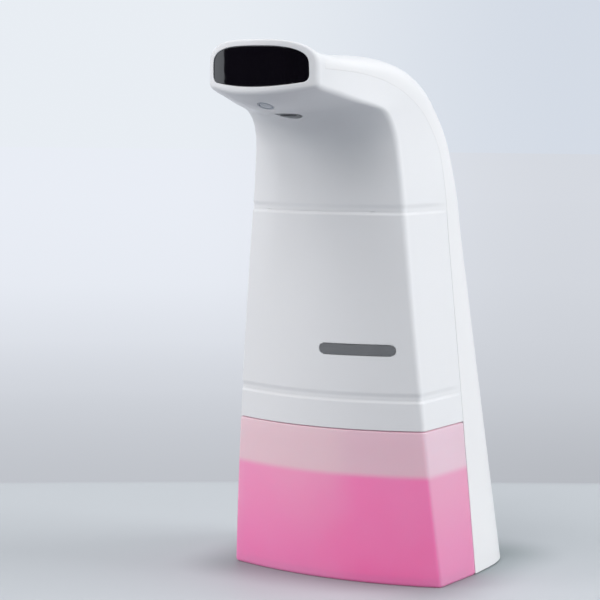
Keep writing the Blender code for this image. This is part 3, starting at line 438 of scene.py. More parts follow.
def shaded(name, bm, weight=None):
    """Shades a mesh smooth, but for sharp turns that no bevel will round."""
    for face in bm.faces:
        face.smooth = True
    for edge in bm.edges:
        rounded = weight and edge[weight]
        if not rounded and edge.calc_face_angle(0) > SHARP_TURN:
            edge.smooth = False
    return finished(name, bm)


print("rim edges are rounded by up to", EDGE_ROUND / MM, "mm")

# %% [markdown]
# The outer skin keeps the recesses and the inner one does not. A point inside the object tells
# which way is out. A strip of faces along every open edge joins the two skins. How soft the outer and
# the inner edge are is a pair of weights, or a function that gives the pair for a place.


# %% From sheet to moulded wall
def wall_mesh(name, sheet, inside, wall=WALL, softness=(0.2, 0.2)):
    """Gives a sheet its wall, away from a point inside, and weights for its rim edges."""
    points, faces, recess = sheet_parts(sheet)
    normals = sheet_normals(points, faces)
    outwards = np.sign(((points - inside) * normals).sum())
    backs = points - normals * (wall * outwards)
    for place, spot in sheet["backs"].items():
        backs[place] = spot
    if outwards < 0:
        normals = -normals
        faces = [face[::-1] for face in faces]
    bm = bmesh.new()
    weight = bm.edges.layers.float.new("bevel_weight_edge")
    outer = [bm.verts.new(p) for p in points - normals * recess[:, None]]
    inner = [bm.verts.new(p) for p in backs]
    bm.verts.index_update()
    for face in faces:
        bm.faces.new([outer[k] for k in face])
    loops = [edge.link_loops[0] for edge in bm.edges if edge.is_boundary]
    rims = [(loop.vert.index, loop.link_loop_next.vert.index) for loop in loops]
    for face in faces:
        bm.faces.new([inner[k] for k in reversed(face)])
    for a, b in rims:
        bm.faces.new((outer[b], outer[a], inner[a], inner[b]))
        soft = softness((outer[a].co + outer[b].co) / 2) if callable(softness) else softness
        bm.edges.get((outer[a], outer[b]))[weight] = soft[0]
        bm.edges.get((inner[a], inner[b]))[weight] = soft[1]
    bmesh.ops.delete(bm, geom=[v for v in bm.verts if not v.link_faces], context="VERTS")
    return shaded(name, bm, weight)


print("walls are", WALL / MM, "mm thick")

# %% [markdown]
# Solid pieces, such as the tank, are lofts: closed rings of points, one above the other, with a
# fan of triangles over the first and the last. Inset moves a ring's outline inwards.


# %% Lofts and insets
def loft_mesh(name, rings, capped=True):
    rings = np.array(rings)
    bm = bmesh.new()
    verts = [[bm.verts.new(p) for p in ring] for ring in rings]
    count = len(verts[0])
    for low, high in zip(verts, verts[1:]):
        for j in range(count):
            bm.faces.new((low[j - 1], low[j], high[j], high[j - 1]))
    if capped:
        for ring, line in ((rings[0], verts[0]), (rings[-1], verts[-1])):
            middle = bm.verts.new(ring.mean(axis=0))
            for j in range(count):
                bm.faces.new((line[j - 1], line[j], middle))
    bmesh.ops.recalc_face_normals(bm, faces=bm.faces)
    return shaded(name, bm)


def inset(outline, distance):
    """Moves a closed flat outline, counterclockwise, inwards."""
    ahead = np.roll(outline, -1, axis=0) - outline
    ahead /= np.maximum(np.linalg.norm(ahead, axis=1), TINY)[:, None]
    behind = np.roll(ahead, 1, axis=0)
    normal = np.column_stack([-ahead[:, 1], ahead[:, 0]])
    middle = normal + np.column_stack([-behind[:, 1], behind[:, 0]])
    middle /= np.linalg.norm(middle, axis=1)[:, None]
    reach = distance / np.maximum((middle * normal).sum(axis=1), 0.5)
    return outline + middle * reach[:, None]


def turned_rings(profile, centre, steps=64):
    """Rings of a turned piece from (radius, height) points."""
    angles = np.linspace(0, math.tau, steps, endpoint=False)
    return [np.column_stack([centre[0] + r * np.cos(angles), centre[1] + r * np.sin(angles),
                             np.full(steps, centre[2] + z)]) for r, z in profile]


print("inset square:", inset(np.array([[0, 0], [1, 0], [1, 1], [0, 1.0]]), 0.1)[0].round(2))

# %% [markdown]
# A finished piece is named, gets its material and its edge modifiers, and is then handed to the
# frame: it stands for a CAD node, or it is new, and it always rides on a body. Weighted Normal
# keeps large smooth faces calm next to their bevels.


# %% Handing a piece to the frame
def new_piece(name, mesh, material, body, *nodes, slot=None, bevel=0.0, calm=False):
    piece = bpy.data.objects.new(name, mesh)
    bpy.context.scene.collection.objects.link(piece)
    if not mesh.materials:
        mesh.materials.append(material)
    if bevel:
        rounding = piece.modifiers.new("Rounded edges", "BEVEL")
        rounding.limit_method = "WEIGHT"
        rounding.width = bevel
        rounding.segments = 4
        rounding.use_clamp_overlap = False
    if calm:
        smoothing = piece.modifiers.new("Calm normals", "WEIGHTED_NORMAL")
        smoothing.keep_sharp = True
    if nodes:
        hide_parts(*nodes)
    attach(piece, body)
    return piece


# %% [markdown]
# Materials are small node trees, and so are the world and the recipes further down. A node is added
# with whatever feeds its inputs: another node's output is joined, and a plain value is set.


# %% Helpers for node trees
class NodeTree:
    """A tree of nodes and the few kinds of nodes that most finishes need."""

    def __init__(self, tree):
        self.tree = tree

    def feed(self, socket, value):
        """Joins a socket to an output or to a list of outputs, or sets it to a plain value."""
        sources = value if isinstance(value, list) else [value]
        if isinstance(sources[0], bpy.types.NodeSocket):
            for source in sources:
                self.tree.links.new(source, socket)
        else:
            socket.default_value = value

    def add(self, kind, inputs=(), **settings):
        """Adds a node, feeds its inputs by name or place, and gives its outputs."""
        node = self.tree.nodes.new(kind)
        for name, value in settings.items():
            setattr(node, name, value)
        for key, value in dict(inputs).items():
            self.feed(node.inputs[key], value)
        return node.outputs

    def calculate(self, kind, operation, *values, **settings):
        return self.add("ShaderNode" + kind, enumerate(values), operation=operation, **settings)

    def spread(self, value, low, high, to_low=0.0, to_high=1.0, ease="SMOOTHSTEP"):
        """Leads one range of a value to another, and clamps what is past it."""
        inputs = {"Value": value, "From Min": low, "From Max": high, "To Min": to_low, "To Max": to_high}
        return self.add("ShaderNodeMapRange", inputs, interpolation_type=ease)["Result"]

    def blend(self, factor, *colours):
        first, second = [(*value, 1) if isinstance(value, tuple) else value for value in colours]
        inputs = {"Factor": factor, 6: first, 7: second}
        return self.add("ShaderNodeMix", inputs, data_type="RGBA")[2]

    def surface(self, output, *sources):
        """The surface turns from one shader into another as the share before them grows."""
        mixed = self.add("ShaderNodeMixShader", enumerate(sources))[0]
        self.feed(self.tree.nodes[output].inputs["Surface"], mixed)


print("node helpers:", [name for name in vars(NodeTree) if not name.startswith("_")])

# %% [markdown]
# A finish is a Principled material. Everything in it reads Object coordinates, so a pattern stays
# fixed to its piece, and scales are counts per metre. Nearly all finishes need the same three
# things: a second, cloudy tone, an uneven gloss and a fine grain. Each is written as what it
# changes, followed by its noise: the scale, the detail and, for brushed metal, the stretch.


# %% Helpers for finishes
class Finish(NodeTree):
    """A Principled material."""

    def __init__(self, name, colour, roughness, metallic=0.0):
        self.material = bpy.data.materials.new(name)
        self.material.use_nodes = True
        super().__init__(self.material.node_tree)
        self.shader = self.tree.nodes["Principled BSDF"]
        self.coordinates = self.add("ShaderNodeTexCoord")
        self.place = self.coordinates["Object"]
        self.colour = colour
        self.set("Base Color", (*colour, 1))
        self.set("Roughness", roughness)
        self.set("Metallic", metallic)

    def set(self, socket, value):
        self.feed(self.shader.inputs[socket], value)

    def noise(self, scale, detail=3.0, stretch=(1, 1, 1)):
        place = self.add("ShaderNodeMapping", {"Vector": self.place, "Scale": stretch})[0]
        return self.add("ShaderNodeTexNoise", {"Vector": place, "Scale": scale, "Detail": detail})["Fac"]

    def tint(self, factor, second):
        """Base colour goes from the finish's own colour to a second one."""
        self.set("Base Color", self.blend(factor, self.colour, second))

    def relief(self, height, distance, strength=1.0):
        inputs = {"Strength": strength, "Distance": distance, "Height": height}
        self.set("Normal", self.add("ShaderNodeBump", inputs)[0])

    def soft(self, weight, radius, depth):
        """Light spreads a little way below the surface, to a depth in millimetres."""
        self.set("Subsurface Weight", weight)
        self.set("Subsurface Radius", radius)
        self.set("Subsurface Scale", depth * MM)

    def wear(self, tone=None, gloss=None, grain=None):
        """Tone: a colour. Gloss: lowest and highest roughness. Grain: a depth in millimetres."""
        if tone:
            self.tint(self.noise(*tone[1:]), tone[0])
        if gloss:
            self.set("Roughness", self.spread(self.noise(*gloss[2:]), 0.2, 0.8, *gloss[:2]))
        if grain:
            self.relief(self.noise(*grain[1:]), grain[0] * MM)


print("finish helpers:", [name for name in vars(Finish) if not name.startswith("_")])

# %% [markdown]
# The housing is glossy white ABS. Such a moulding is never dead even: it has a faint cloudiness,
# a slight waviness from the tool, and thin dust and handling marks that change its gloss. All of
# these stay very weak, or the plastic would look dirty.


# %% White ABS
def white_plastic(name, colour):
    finish = Finish(name, colour, 0.24)
    finish.set("Coat Weight", 0.25)
    finish.set("Coat Roughness", 0.08)
    finish.soft(0.06, (0.8, 0.9, 1.0), 1.2)
    finish.wear(tone=(tuple(value * 0.97 for value in colour), 14, 1), gloss=(0.285, 0.34, 22, 1))
    finish.relief(finish.noise(2600, 1), 0.004 * MM, 0.5)
    return finish.material


def white_piece(name, mesh, material, body, node):
    """A white moulding whose rim edges are rounded."""
    new_piece(name, mesh, material, body, node, slot="white_shell", bevel=EDGE_ROUND, calm=True)
    print(node, "has", len(mesh.polygons), "faces")


shell_white = white_plastic("gloss_white_shell", (0.815, 0.825, 0.840))
cover_white = white_plastic("gloss_white_cover", (0.835, 0.840, 0.848))
print("white finishes:", shell_white.name, cover_white.name)

# %% [markdown]
# The front of the housing is three mouldings, one above the other, with two soft channels between
# them. Each channel is a flat strip set back by a third of a millimetre. Its upper end is a short slope
# that faces down and looks like a faint shade. Its lower end is the sloping top of the next
# moulding, which faces up and catches the light. The mouldings meet at the foot of that slope,
# and they all but touch, so no black gap shows.

# %% Channels between the mouldings
INSIDE = (0, 5 * MM, 100 * MM)
CHANNEL_WIDTH = 3.0 * MM
CHANNEL_SLOPE = 2.0 * MM
CHANNEL_DEPTH = 0.35 * MM
STRIP_ROWS = 4
SLOPE_ROWS = 8
LIP_SLOPE = 1.3 * MM
SEEN_GAP = 0.01 * MM


def channel(station):
    """How far the outer skin is set back at a station, near the two grooves."""
    for groove in (LOWER_GROOVE, UPPER_GROOVE):
        above = station - groove
        if -LIP_SLOPE < above < CHANNEL_WIDTH:
            rise = min(1, (CHANNEL_WIDTH - above) / CHANNEL_SLOPE, (above + LIP_SLOPE) / LIP_SLOPE)
            return CHANNEL_DEPTH * rise * rise * (3 - 2 * rise)
    return 0.0


def easing_stations(start, end, step, channel_below, lip_above):
    """Even stations, with fine ones along a channel at the lower end or a lip at the upper."""
    stations = [start]
    if channel_below:
        top = start + CHANNEL_WIDTH
        stations = [*np.linspace(start, top - CHANNEL_SLOPE, STRIP_ROWS)[:-1],
                    *np.linspace(top - CHANNEL_SLOPE, top, SLOPE_ROWS)]
    last = end - LIP_SLOPE if lip_above else end
    count = max(2, round((last - stations[-1]) / step) + 1)
    stations += [*np.linspace(stations[-1], last, count)[1:]]
    if lip_above:
        stations += [*np.linspace(last, end, SLOPE_ROWS)[1:]]
    return np.array(stations)


print("channels are", CHANNEL_DEPTH / MM, "mm deep")

# %% [markdown]
# A sheet of the front has one row of points for each station. A channel fades out just before the
# parting line on either side, so that the edge there stays straight.

# %% Sheets of the front
COLLAR_STEP = 2 * MM
PANEL_STEP = 2.5 * MM
FADING_END = [0.85, 0.4, 0]
SEAM_BREAK = 0.08
HEAD_SEAM_BREAK = 0.03
INNER_BREAK = 0.1

full_points = FRONT_POINTS + FILLET_POINTS + SIDE_POINTS - len(FADING_END)
half_fading = np.concatenate([np.ones(full_points), FADING_END])
fading = np.concatenate([half_fading[:0:-1], half_fading])


def recess_channel(sheet, stations):
    for i, station in enumerate(stations):
        depth = channel(station)
        if depth:
            sheet["recess"].update(zip(sheet["index"][i], depth * fading))


def front_sheet(stations, seam=GAP / 2):
    sheet = new_sheet(np.array([mirrored(front_half(skin_row(s), seam)) for s in stations]))
    recess_channel(sheet, stations)
    return sheet


def seam_softness(spot):
    """Weights of seam edges, outside and inside: nearly sharp in a channel."""
    for groove in (LOWER_GROOVE, UPPER_GROOVE):
        if abs(spot.z - groove) < CHANNEL_DEPTH:
            return 0.0, 0.0
    rise = min(1, max(0, (spot.z - BEND_HEIGHT) / (0.6 * HEAD_RISE)))
    return mix(SEAM_BREAK, HEAD_SEAM_BREAK, rise), INNER_BREAK


collar_stations = easing_stations(COLLAR_BOTTOM, LOWER_GROOVE - SEEN_GAP / 2, COLLAR_STEP, False, True)
panel_stations = easing_stations(LOWER_GROOVE + SEEN_GAP / 2, UPPER_GROOVE - SEEN_GAP / 2,
                                 PANEL_STEP, True, True)
print("collar rows:", len(collar_stations), "panel rows:", len(panel_stations))

# %% [markdown]
# The lower collar sits on the tank. It is a plain open band, so it needs no holes. Its upper edge
# slopes in towards the lower channel.

# %% Lower collar
collar_mesh = wall_mesh("collar_shell", front_sheet(collar_stations), INSIDE, softness=seam_softness)
white_piece("collar_shell", collar_mesh, shell_white, "housing", "lower_collar")

# %% [markdown]
# The middle panel carries a small capsule-shaped badge, left bare here. The badge lies in a shallow
# pocket, so a fine dark line runs round it.

# %% Middle panel and its pocket
BADGE_CENTRE = (15.7 * MM, 87.9 * MM)
BADGE_HALF = (14.2 * MM, 1.95 * MM)
BADGE_RADIUS = 1.95 * MM
BADGE_PROUD = 0.1 * MM
POCKET_MARGIN = 0.25 * MM
POCKET_DEPTH = 0.6 * MM
POCKET_ROOM = 3.0 * MM
POCKET_SIDE_ROOM = 1.0 * MM


def on_front(x, z):
    return (x, front_depth(x, z), z)


panel_sheet = front_sheet(panel_stations)
pocket_rows = block(panel_stations, BADGE_CENTRE[1], BADGE_HALF[1] + POCKET_ROOM)
pocket_row = [panel_sheet["points"][k][0] for k in panel_sheet["index"][pocket_rows[0]]]
pocket_columns = block(pocket_row, BADGE_CENTRE[0], BADGE_HALF[0] + POCKET_SIDE_ROOM)
punch(panel_sheet, pocket_rows, pocket_columns, BADGE_CENTRE,
      (BADGE_HALF[0] + POCKET_MARGIN, BADGE_HALF[1] + POCKET_MARGIN), BADGE_RADIUS + POCKET_MARGIN,
      [0, 2], on_front, floor=POCKET_DEPTH)
panel_mesh = wall_mesh("front_panel", panel_sheet, INSIDE, softness=seam_softness)
white_piece("front_panel", panel_mesh, shell_white, "housing", "middle_panel")

# %% [markdown]
# The upper shell runs from the upper groove round the bend to the window. It lines the underside
# of the head, with holes for the foam nozzle and a small lens. At the very front it closes over
# the top and becomes the rounded rim round the window.

# %% Front rows of the upper shell
COVER_FRONT = -REACH * PARTING_SHARES[-2][0]
SHELL_STEP = 1.6 * MM
LIP_ROOM = 1.6 * MM
RIM_EDGE_ROOM = 0.9 * MM
LOW_SEAM = 0.04 * MM
HIGH_SEAM = 0.015 * MM


def seam_gap(station):
    """Half of the parting gap: it closes to a hairline over the bend."""
    rise = min(1, max(0, (station - BEND_HEIGHT) / (0.4 * HEAD_RISE)))
    return mix(LOW_SEAM, HIGH_SEAM, rise)


upper_low = easing_stations(UPPER_GROOVE + SEEN_GAP / 2, COVER_END_STATION - SEEN_GAP / 2,
                            SHELL_STEP, True, False)
rim_stations = np.array([COVER_END_STATION + SEEN_GAP / 2, COVER_END_STATION + RIM_EDGE_ROOM,
                         RIM_STATION - LIP_ROOM, RIM_STATION])
upper_stations = np.concatenate([upper_low, rim_stations])
upper_rows = [mirrored(front_half(skin_row(s), seam_gap(s))) for s in upper_low]
upper_rows += [mirrored(front_half(skin_row(s), 0)) for s in rim_stations]
upper_sheet = new_sheet(np.array(upper_rows))
recess_channel(upper_sheet, upper_stations)
print("upper shell rows:", len(upper_stations))

# %% [markdown]
# The back cover ends over the head along a straight cut, and the stations there are not level. So
# each column of the back runs between its own first and last station.

# %% Columns of the back
DENSE_COUNT = 80
STATIONS_PER_METRE = 1e7
kept_backs = {}


def stations_at_depth(depth, dense_rows):
    """For each column of the back, the station where it passes a depth."""
    return np.array([np.interp(-depth, -dense_rows[:, j, 1], dense_stations)
                     for j in range(dense_rows.shape[1])])


def back_point_of(station, column, seam):
    key = (round(station * STATIONS_PER_METRE), seam)
    if key not in kept_backs:
        kept_backs[key] = mirrored(back_half(skin_row(station), seam))
    return kept_backs[key][column]


def back_rows(starts, ends, shares, seam):
    """Rows of the back whose columns run between their own first and last stations."""
    rows = np.zeros((len(shares), len(starts), 3))
    for i, share in enumerate(shares):
        for j, (start, end) in enumerate(zip(starts, ends)):
            rows[i, j] = back_point_of(mix(start, end, share), j, seam)
    return rows


dense_stations = np.linspace(COVER_END_STATION - 12 * MM, RIM_STATION, DENSE_COUNT)
dense_backs = np.array([mirrored(back_half(skin_row(s), 0)) for s in dense_stations])
rim_starts = stations_at_depth(COVER_FRONT - SEEN_GAP / 2, dense_backs)
rim_starts[[0, -1]] = COVER_END_STATION + SEEN_GAP / 2
print("rim starts at stations", (rim_starts[[0, len(rim_starts) // 2]] / MM).round(1))

# %% [markdown]
# In front of that cut the shell closes over the top. New rows of points join the ends of the front
# rows, so each line of the rim goes all the way round.

# %% Top of the rim
rim_shares = (rim_stations - rim_stations[0]) / (RIM_STATION - rim_stations[0])
rim_tops = back_rows(rim_starts, np.full(len(rim_starts), RIM_STATION), rim_shares, 0)
before = None
rim_lines = []
for i, row in enumerate(rim_tops):
    line = upper_sheet["index"][len(upper_low) + i]
    first = len(upper_sheet["points"])
    upper_sheet["points"] += list(row[-2:0:-1])
    now = [line[-1], *range(first, first + len(row) - 2), line[0]]
    if before:
        upper_sheet["faces"] += [(before[k - 1], before[k], now[k], now[k - 1])
                                 for k in range(1, len(now))]
    before = now
    rim_lines.append([*line, *now[1:-1]])
print("rim rows:", len(rim_tops))

# %% [markdown]
# Two round holes open in the underside, one for the nozzle and one for the lens. Both follow the
# same recipe as the pocket, on x and y, and go right through.

# %% Holes of the underside
FOAM_HOLE_RADIUS = 5.0 * MM
LENS_HOLE_RADIUS = 3.06 * MM
HOLE_ROOM = 2.0 * MM
RIM_FOOT = 180 * MM
RIM_EASING = 1.5 * MM

belly_line = np.array(upper_rows)[:, len(upper_rows[0]) // 2, 1]


def on_belly(x, y):
    return (x, y, belly_height(x, y))


def punch_below(y, radius):
    rows = block(-belly_line, -y, radius + HOLE_ROOM)
    columns = block(upper_rows[rows[0]][:, 0], 0, radius + HOLE_ROOM)
    punch(upper_sheet, rows, columns, (0, y), (radius, radius), radius, [0, 1], on_belly)


def upper_softness(spot):
    """The lip round the window is fully rounded outside, and seams are only just broken."""
    if spot.y < COVER_FRONT - RIM_EASING and spot.z > RIM_FOOT:
        return 1.0, 0.2
    return seam_softness(spot)


punch_below(NOZZLE_Y, FOAM_HOLE_RADIUS)
punch_below(LENS_Y, LENS_HOLE_RADIUS)
print("underside with holes:", len(upper_sheet["faces"]), "new faces")

# %% [markdown]
# The opening for the window has softer corners than the rim round it. A convex outline is moved in
# by a distance plus a radius, and then out again by the radius, which rounds every corner.

# %% Moving an outline inwards
RAY_COUNT = 720
SAME_PLACE = 1e-9
ALONGSIDE = 1e-6


def rounded_inset(outline, distance, radius, count=96):
    """Moves a convex outline inwards and rounds its corners, with evenly spread points."""
    middle = outline.mean(axis=0)
    ahead = np.roll(outline, -1, axis=0) - outline
    apart = np.linalg.norm(ahead, axis=1) > SAME_PLACE
    ahead, starts = ahead[apart], outline[apart]
    outward = np.column_stack([ahead[:, 1], -ahead[:, 0]])
    outward /= np.linalg.norm(outward, axis=1)[:, None]
    angles = np.linspace(0, math.tau, RAY_COUNT, endpoint=False)
    rays = np.column_stack([np.cos(angles), np.sin(angles)])
    facing = rays @ outward.T
    room = ((starts - middle) * outward).sum(axis=1) - distance - radius
    reach = np.where(facing > ALONGSIDE, room / np.maximum(facing, ALONGSIDE), 1).min(axis=1)
    small = middle + rays * reach[:, None]
    grown = small[(small @ rays.T).argmax(axis=0)] + rays * radius
    closed = np.vstack([grown, grown[:1]])
    travelled = np.concatenate([[0], np.cumsum(np.linalg.norm(np.diff(closed, axis=0), axis=1))])
    even = np.linspace(0, travelled[-1], count, endpoint=False)
    return np.column_stack([np.interp(even, travelled, closed[:, k]) for k in (0, 1)])


print("corners are cut by", RAY_COUNT, "rays")

# %% [markdown]
# The opening is that outline, a little narrower and lower. Every point of the rim's last two lines
# gets a partner on it, straight towards the middle, and the two together make the wide lip.

# %% Opening for the window
OPENING_CORNER = 2.4 * MM
OPENING_POINTS = 360
TOP_LIP = 0.5 * MM
SIDE_LIP = 0.6 * MM


def rim_front(x):
    return -REACH - RIM_FORWARD_BULGE * (1 - (x / RIM_HALF_WIDTH) ** 2)


rim_row = skin_row(RIM_STATION)
rim_ring = np.vstack([mirrored(front_half(rim_row, 0)), mirrored(back_half(rim_row, 0))[-2:0:-1]])
rim_outline = rim_ring[:, [0, 2]]


def below_top_lip(outline):
    """Leaves a little more rim over the opening than under it, and at its ends."""
    outline[:, 0] *= 1 - SIDE_LIP / outline[:, 0].max()
    low, high = outline[:, 1].min(), outline[:, 1].max()
    outline[:, 1] = low + (outline[:, 1] - low) * (1 - TOP_LIP / (high - low))
    return outline


opening = below_top_lip(rounded_inset(rim_outline, WALL, OPENING_CORNER, OPENING_POINTS))
opening_middle = opening.mean(axis=0)
opening_spokes = opening - opening_middle
spoke_angles = np.arctan2(opening_spokes[:, 1], opening_spokes[:, 0])
order = np.argsort(spoke_angles)


def opening_point(spot):
    """The place on the opening's outline that lies on the spoke through a point."""
    away = np.array([spot[0], spot[2]]) - opening_middle
    reach = np.interp(math.atan2(away[1], away[0]), spoke_angles[order],
                      np.linalg.norm(opening_spokes, axis=1)[order], period=math.tau)
    return opening_middle + away * reach / np.linalg.norm(away)


for line, station in zip(rim_lines[-2:], rim_stations[-2:]):
    for place in line:
        x, z = opening_point(upper_sheet["points"][place])
        upper_sheet["backs"][place] = (x, rim_front(x) + 2 * (RIM_STATION - station), z)
print("opening is", (np.ptp(opening, axis=0) / MM).round(1), "mm")

# %% [markdown]
# With its holes and its opening known, the sheet of the upper shell gets its wall. The shell bends,
# so the point that tells inside from outside has to lie in the head.

# %% Wall of the upper shell
HEAD_INSIDE = (0, -55 * MM, 188 * MM)

upper_mesh = wall_mesh("upper_shell_skin", upper_sheet, HEAD_INSIDE, softness=upper_softness)
white_piece("upper_shell_skin", upper_mesh, shell_white, "housing", "upper_shell")

# %% [markdown]
# The back cover is one long moulding. It starts just above the floor as the spine behind the
# tank, follows the bend and ends over the head. The battery door and the power button sit in two
# holes in it. Its front edge is cut straight across, so each column has its own last station.

# %% Back cover
DOOR_HALF = (25.1 * MM, 27.55 * MM)
DOOR_CENTRE = (0.0, 91.64 * MM)
DOOR_RADIUS = 3.0 * MM
BUTTON_LEVEL = 131.94 * MM
BUTTON_HOLE_RADIUS = 4.8 * MM
DOOR_ROOM = 1.6 * MM
BUTTON_ROOM = 1.5 * MM
COVER_BEND_STATION = COVER_END_STATION - 14 * MM
COVER_FOOT = (0.4, 0.9, 2, 4, 8)
COVER_SPANS = ((12, 60, 13), (60, 123, 22), (123, 141, 13))
COVER_BEND_ROWS = 34
COVER_TOP_ROWS = 9

cover_parts = [np.array(COVER_FOOT) * MM]
cover_parts += [np.linspace(low * MM, high * MM, count) for low, high, count in COVER_SPANS]
cover_parts.append(np.linspace(COVER_SPANS[-1][1] * MM, COVER_BEND_STATION, COVER_BEND_ROWS))
cover_low = np.unique(np.concatenate(cover_parts))
cover_seams = [mirrored(back_half(skin_row(s), seam_gap(s))) for s in cover_low]
dense_stations = np.linspace(COVER_BEND_STATION, COVER_END_STATION, DENSE_COUNT)
dense_covers = np.array([mirrored(back_half(skin_row(s), seam_gap(s))) for s in dense_stations])
cover_ends = stations_at_depth(COVER_FRONT + SEEN_GAP / 2, dense_covers)
cover_tops = back_rows(np.full(len(cover_ends), COVER_BEND_STATION), cover_ends,
                       np.linspace(0, 1, COVER_TOP_ROWS)[1:], seam_gap(COVER_END_STATION))
cover_sheet = new_sheet(np.array(cover_seams + list(cover_tops)))
cover_across = cover_seams[len(cover_seams) // 3][:, 0]
print("cover rows:", len(cover_seams) + len(cover_tops))

# %% [markdown]
# The two holes are punched on x and z. The button's axis leans with the back, so its round hole is
# a little lower on z than it is wide.


# %% Holes and wall of the back cover
def on_back(x, z):
    return (x, back_depth(x, z), z)


def punch_back(middle, half, radius, room):
    rows = block(cover_low, middle[1], half[1] + room)
    columns = block(cover_across, 0, half[0] + room)
    punch(cover_sheet, rows, columns, middle, half, radius, [0, 2], on_back, rings=3)


button_hole = (BUTTON_HOLE_RADIUS, BUTTON_HOLE_RADIUS * math.cos(BACK_LEAN))
punch_back(DOOR_CENTRE, (DOOR_HALF[0] + GAP, DOOR_HALF[1] + GAP), DOOR_RADIUS + GAP, DOOR_ROOM)
punch_back((0, BUTTON_LEVEL), button_hole, BUTTON_HOLE_RADIUS, BUTTON_ROOM)
cover_mesh = wall_mesh("rear_cover_skin", cover_sheet, INSIDE, softness=seam_softness)
white_piece("rear_cover_skin", cover_mesh, cover_white, "housing", "back_cover")

# %% [markdown]
# A plate, such as the window, the badge or the battery door, starts from its outline. Rings of
# points lead from the outline to the middle, and each point is lifted onto the surface that the
# plate follows.

# %% Plates
PLATE_SHARES = (1, 0.985, 0.95, 0.85, 0.65, 0.4, 0.2)


def plate_sheet(outline, lift, shares=PLATE_SHARES):
    outline = np.array(outline)
    middle = outline.mean(axis=0)
    sheet = new_sheet()
    ring = []
    for share in shares:
        ring = add_ring(sheet, ring, [lift(*spot) for spot in middle + (outline - middle) * share])
    close_ring(sheet, ring, lift(*middle))
    return sheet


def rounded_outline(middle, half, radius, count=96):
    """A rounded rectangle, counterclockwise, with its points spread evenly along it."""
    side = np.linspace(-1, 1, count // 4, endpoint=False)[:, None]
    one = np.ones_like(side)
    square = np.vstack([np.hstack([side, -one]), np.hstack([one, side]),
                        np.hstack([-side, one]), np.hstack([-one, -side])])
    return rounded_square(square, half, radius) + middle


print("outline points:", len(rounded_outline((0, 0), (1, 1), 0.2)))

# %% [markdown]
# The window is a thin, deep black cover of acrylic that lets infrared through. It is bowed like
# the rim and lies a little behind it. Its gloss is what one sees, so it reflects strongly.

# %% Sensor window
WINDOW_RECESS = 0.4 * MM
WINDOW_THICKNESS = 1.5 * MM
WINDOW_INSIDE = (0, 0, 190 * MM)


def window_place(x, z):
    return (x, rim_front(x) + WINDOW_RECESS, z)


window_outline = below_top_lip(rounded_inset(rim_outline, WALL + SEEN_GAP, OPENING_CORNER - SEEN_GAP))
window_mesh = wall_mesh("window_plate", plate_sheet(window_outline, window_place), WINDOW_INSIDE,
                        WINDOW_THICKNESS, softness=(0.12, 0.1))
black = Finish("smoked_acrylic", (0.002, 0.0015, 0.003), 0.07)
black.set("Specular IOR Level", 1.0)
black.set("IOR", 1.55)
black.wear(tone=((0.004, 0.003, 0.006), 60, 2), gloss=(0.05, 0.10, 220, 3))
new_piece("window_plate", window_mesh, black.material, "housing", "sensor_window",
          slot="black_window", bevel=EDGE_ROUND)
print("window spans", np.ptp(window_outline, axis=0) / MM)

# %% [markdown]
# The badge plate is thin brushed metal in a shallow pocket, standing a tenth of a millimetre
# proud. It is a plain, bare plate here.

# %% Badge plate
BADGE_THICKNESS = 0.5 * MM
BADGE_SEAM = 0.01 * MM
BADGE_POINTS = 64


def badge_place(x, z):
    return (x, front_depth(x, z) - BADGE_PROUD, z)


badge_outline = rounded_outline(BADGE_CENTRE, BADGE_HALF, BADGE_RADIUS - BADGE_SEAM, BADGE_POINTS)
badge_mesh = wall_mesh("badge_strip", plate_sheet(badge_outline, badge_place), INSIDE,
                       BADGE_THICKNESS, softness=(0.1, 0.1))
badge_grey = Finish("brushed_grey_badge", (0.185, 0.190, 0.200), 0.38, metallic=0.35)
badge_grey.set("Anisotropic", 0.4)
badge_grey.wear(tone=((0.23, 0.235, 0.245), 700, 2, (0.06, 1, 1)), grain=(0.01, 2500, 2, (0.04, 1, 1)))
new_piece("badge_strip", badge_mesh, badge_grey.material, "housing", "badge_plate",
          slot="grey_badge", bevel=EDGE_ROUND)
print("badge is", 2 * BADGE_HALF[0] / MM, "x", 2 * BADGE_HALF[1] / MM, "mm")

# %% [markdown]
# The battery door continues the cover's curve. It turns down about its lower edge, so the whole
# door rides on its own body.

# %% Battery door
DOOR_SHARES = (1, 0.985, 0.95, 0.9, 0.8, 0.7, 0.6, 0.5, 0.4, 0.3, 0.2, 0.1)

door_outline = rounded_outline(DOOR_CENTRE, DOOR_HALF, DOOR_RADIUS)
door_mesh = wall_mesh("door_panel", plate_sheet(door_outline, on_back, DOOR_SHARES), INSIDE)
white_piece("door_panel", door_mesh, cover_white, "battery_door", "battery_door")

# %% [markdown]
# The tank is one blow-moulded, frosted vessel. Its front follows the housing's skin, and behind
# the parting line it steps in, to fit between the walls of the spine. It is lofted from level
# outlines, whose right half is worked out and then mirrored.

# %% Outline of the tank
TANK_WALL = 2.0 * MM
TANK_FLOOR = 2.4 * MM
TANK_EDGE = 1.2 * MM
TANK_REAR = 15 * MM
TANK_REAR_RADIUS = 8 * MM
STEP_SOFTNESS = 0.5 * MM
ARC_POINTS = 9
REAR_POINTS = 5


def rear_half_width(row, depth):
    share = (depth - row[4]) / (row[6] - row[4])
    return row[9] * (1 - share ** row[10]) ** (1 / row[10])


def soft_turn(before, corner, after, radius, count=5):
    """A corner between two straight lines, eased by a quadratic curve."""
    start = corner + (before - corner) * min(1, radius / np.linalg.norm(before - corner))
    end = corner + (after - corner) * min(1, radius / np.linalg.norm(after - corner))
    return np.vstack([[start], curve_through(start, corner, end, count)])


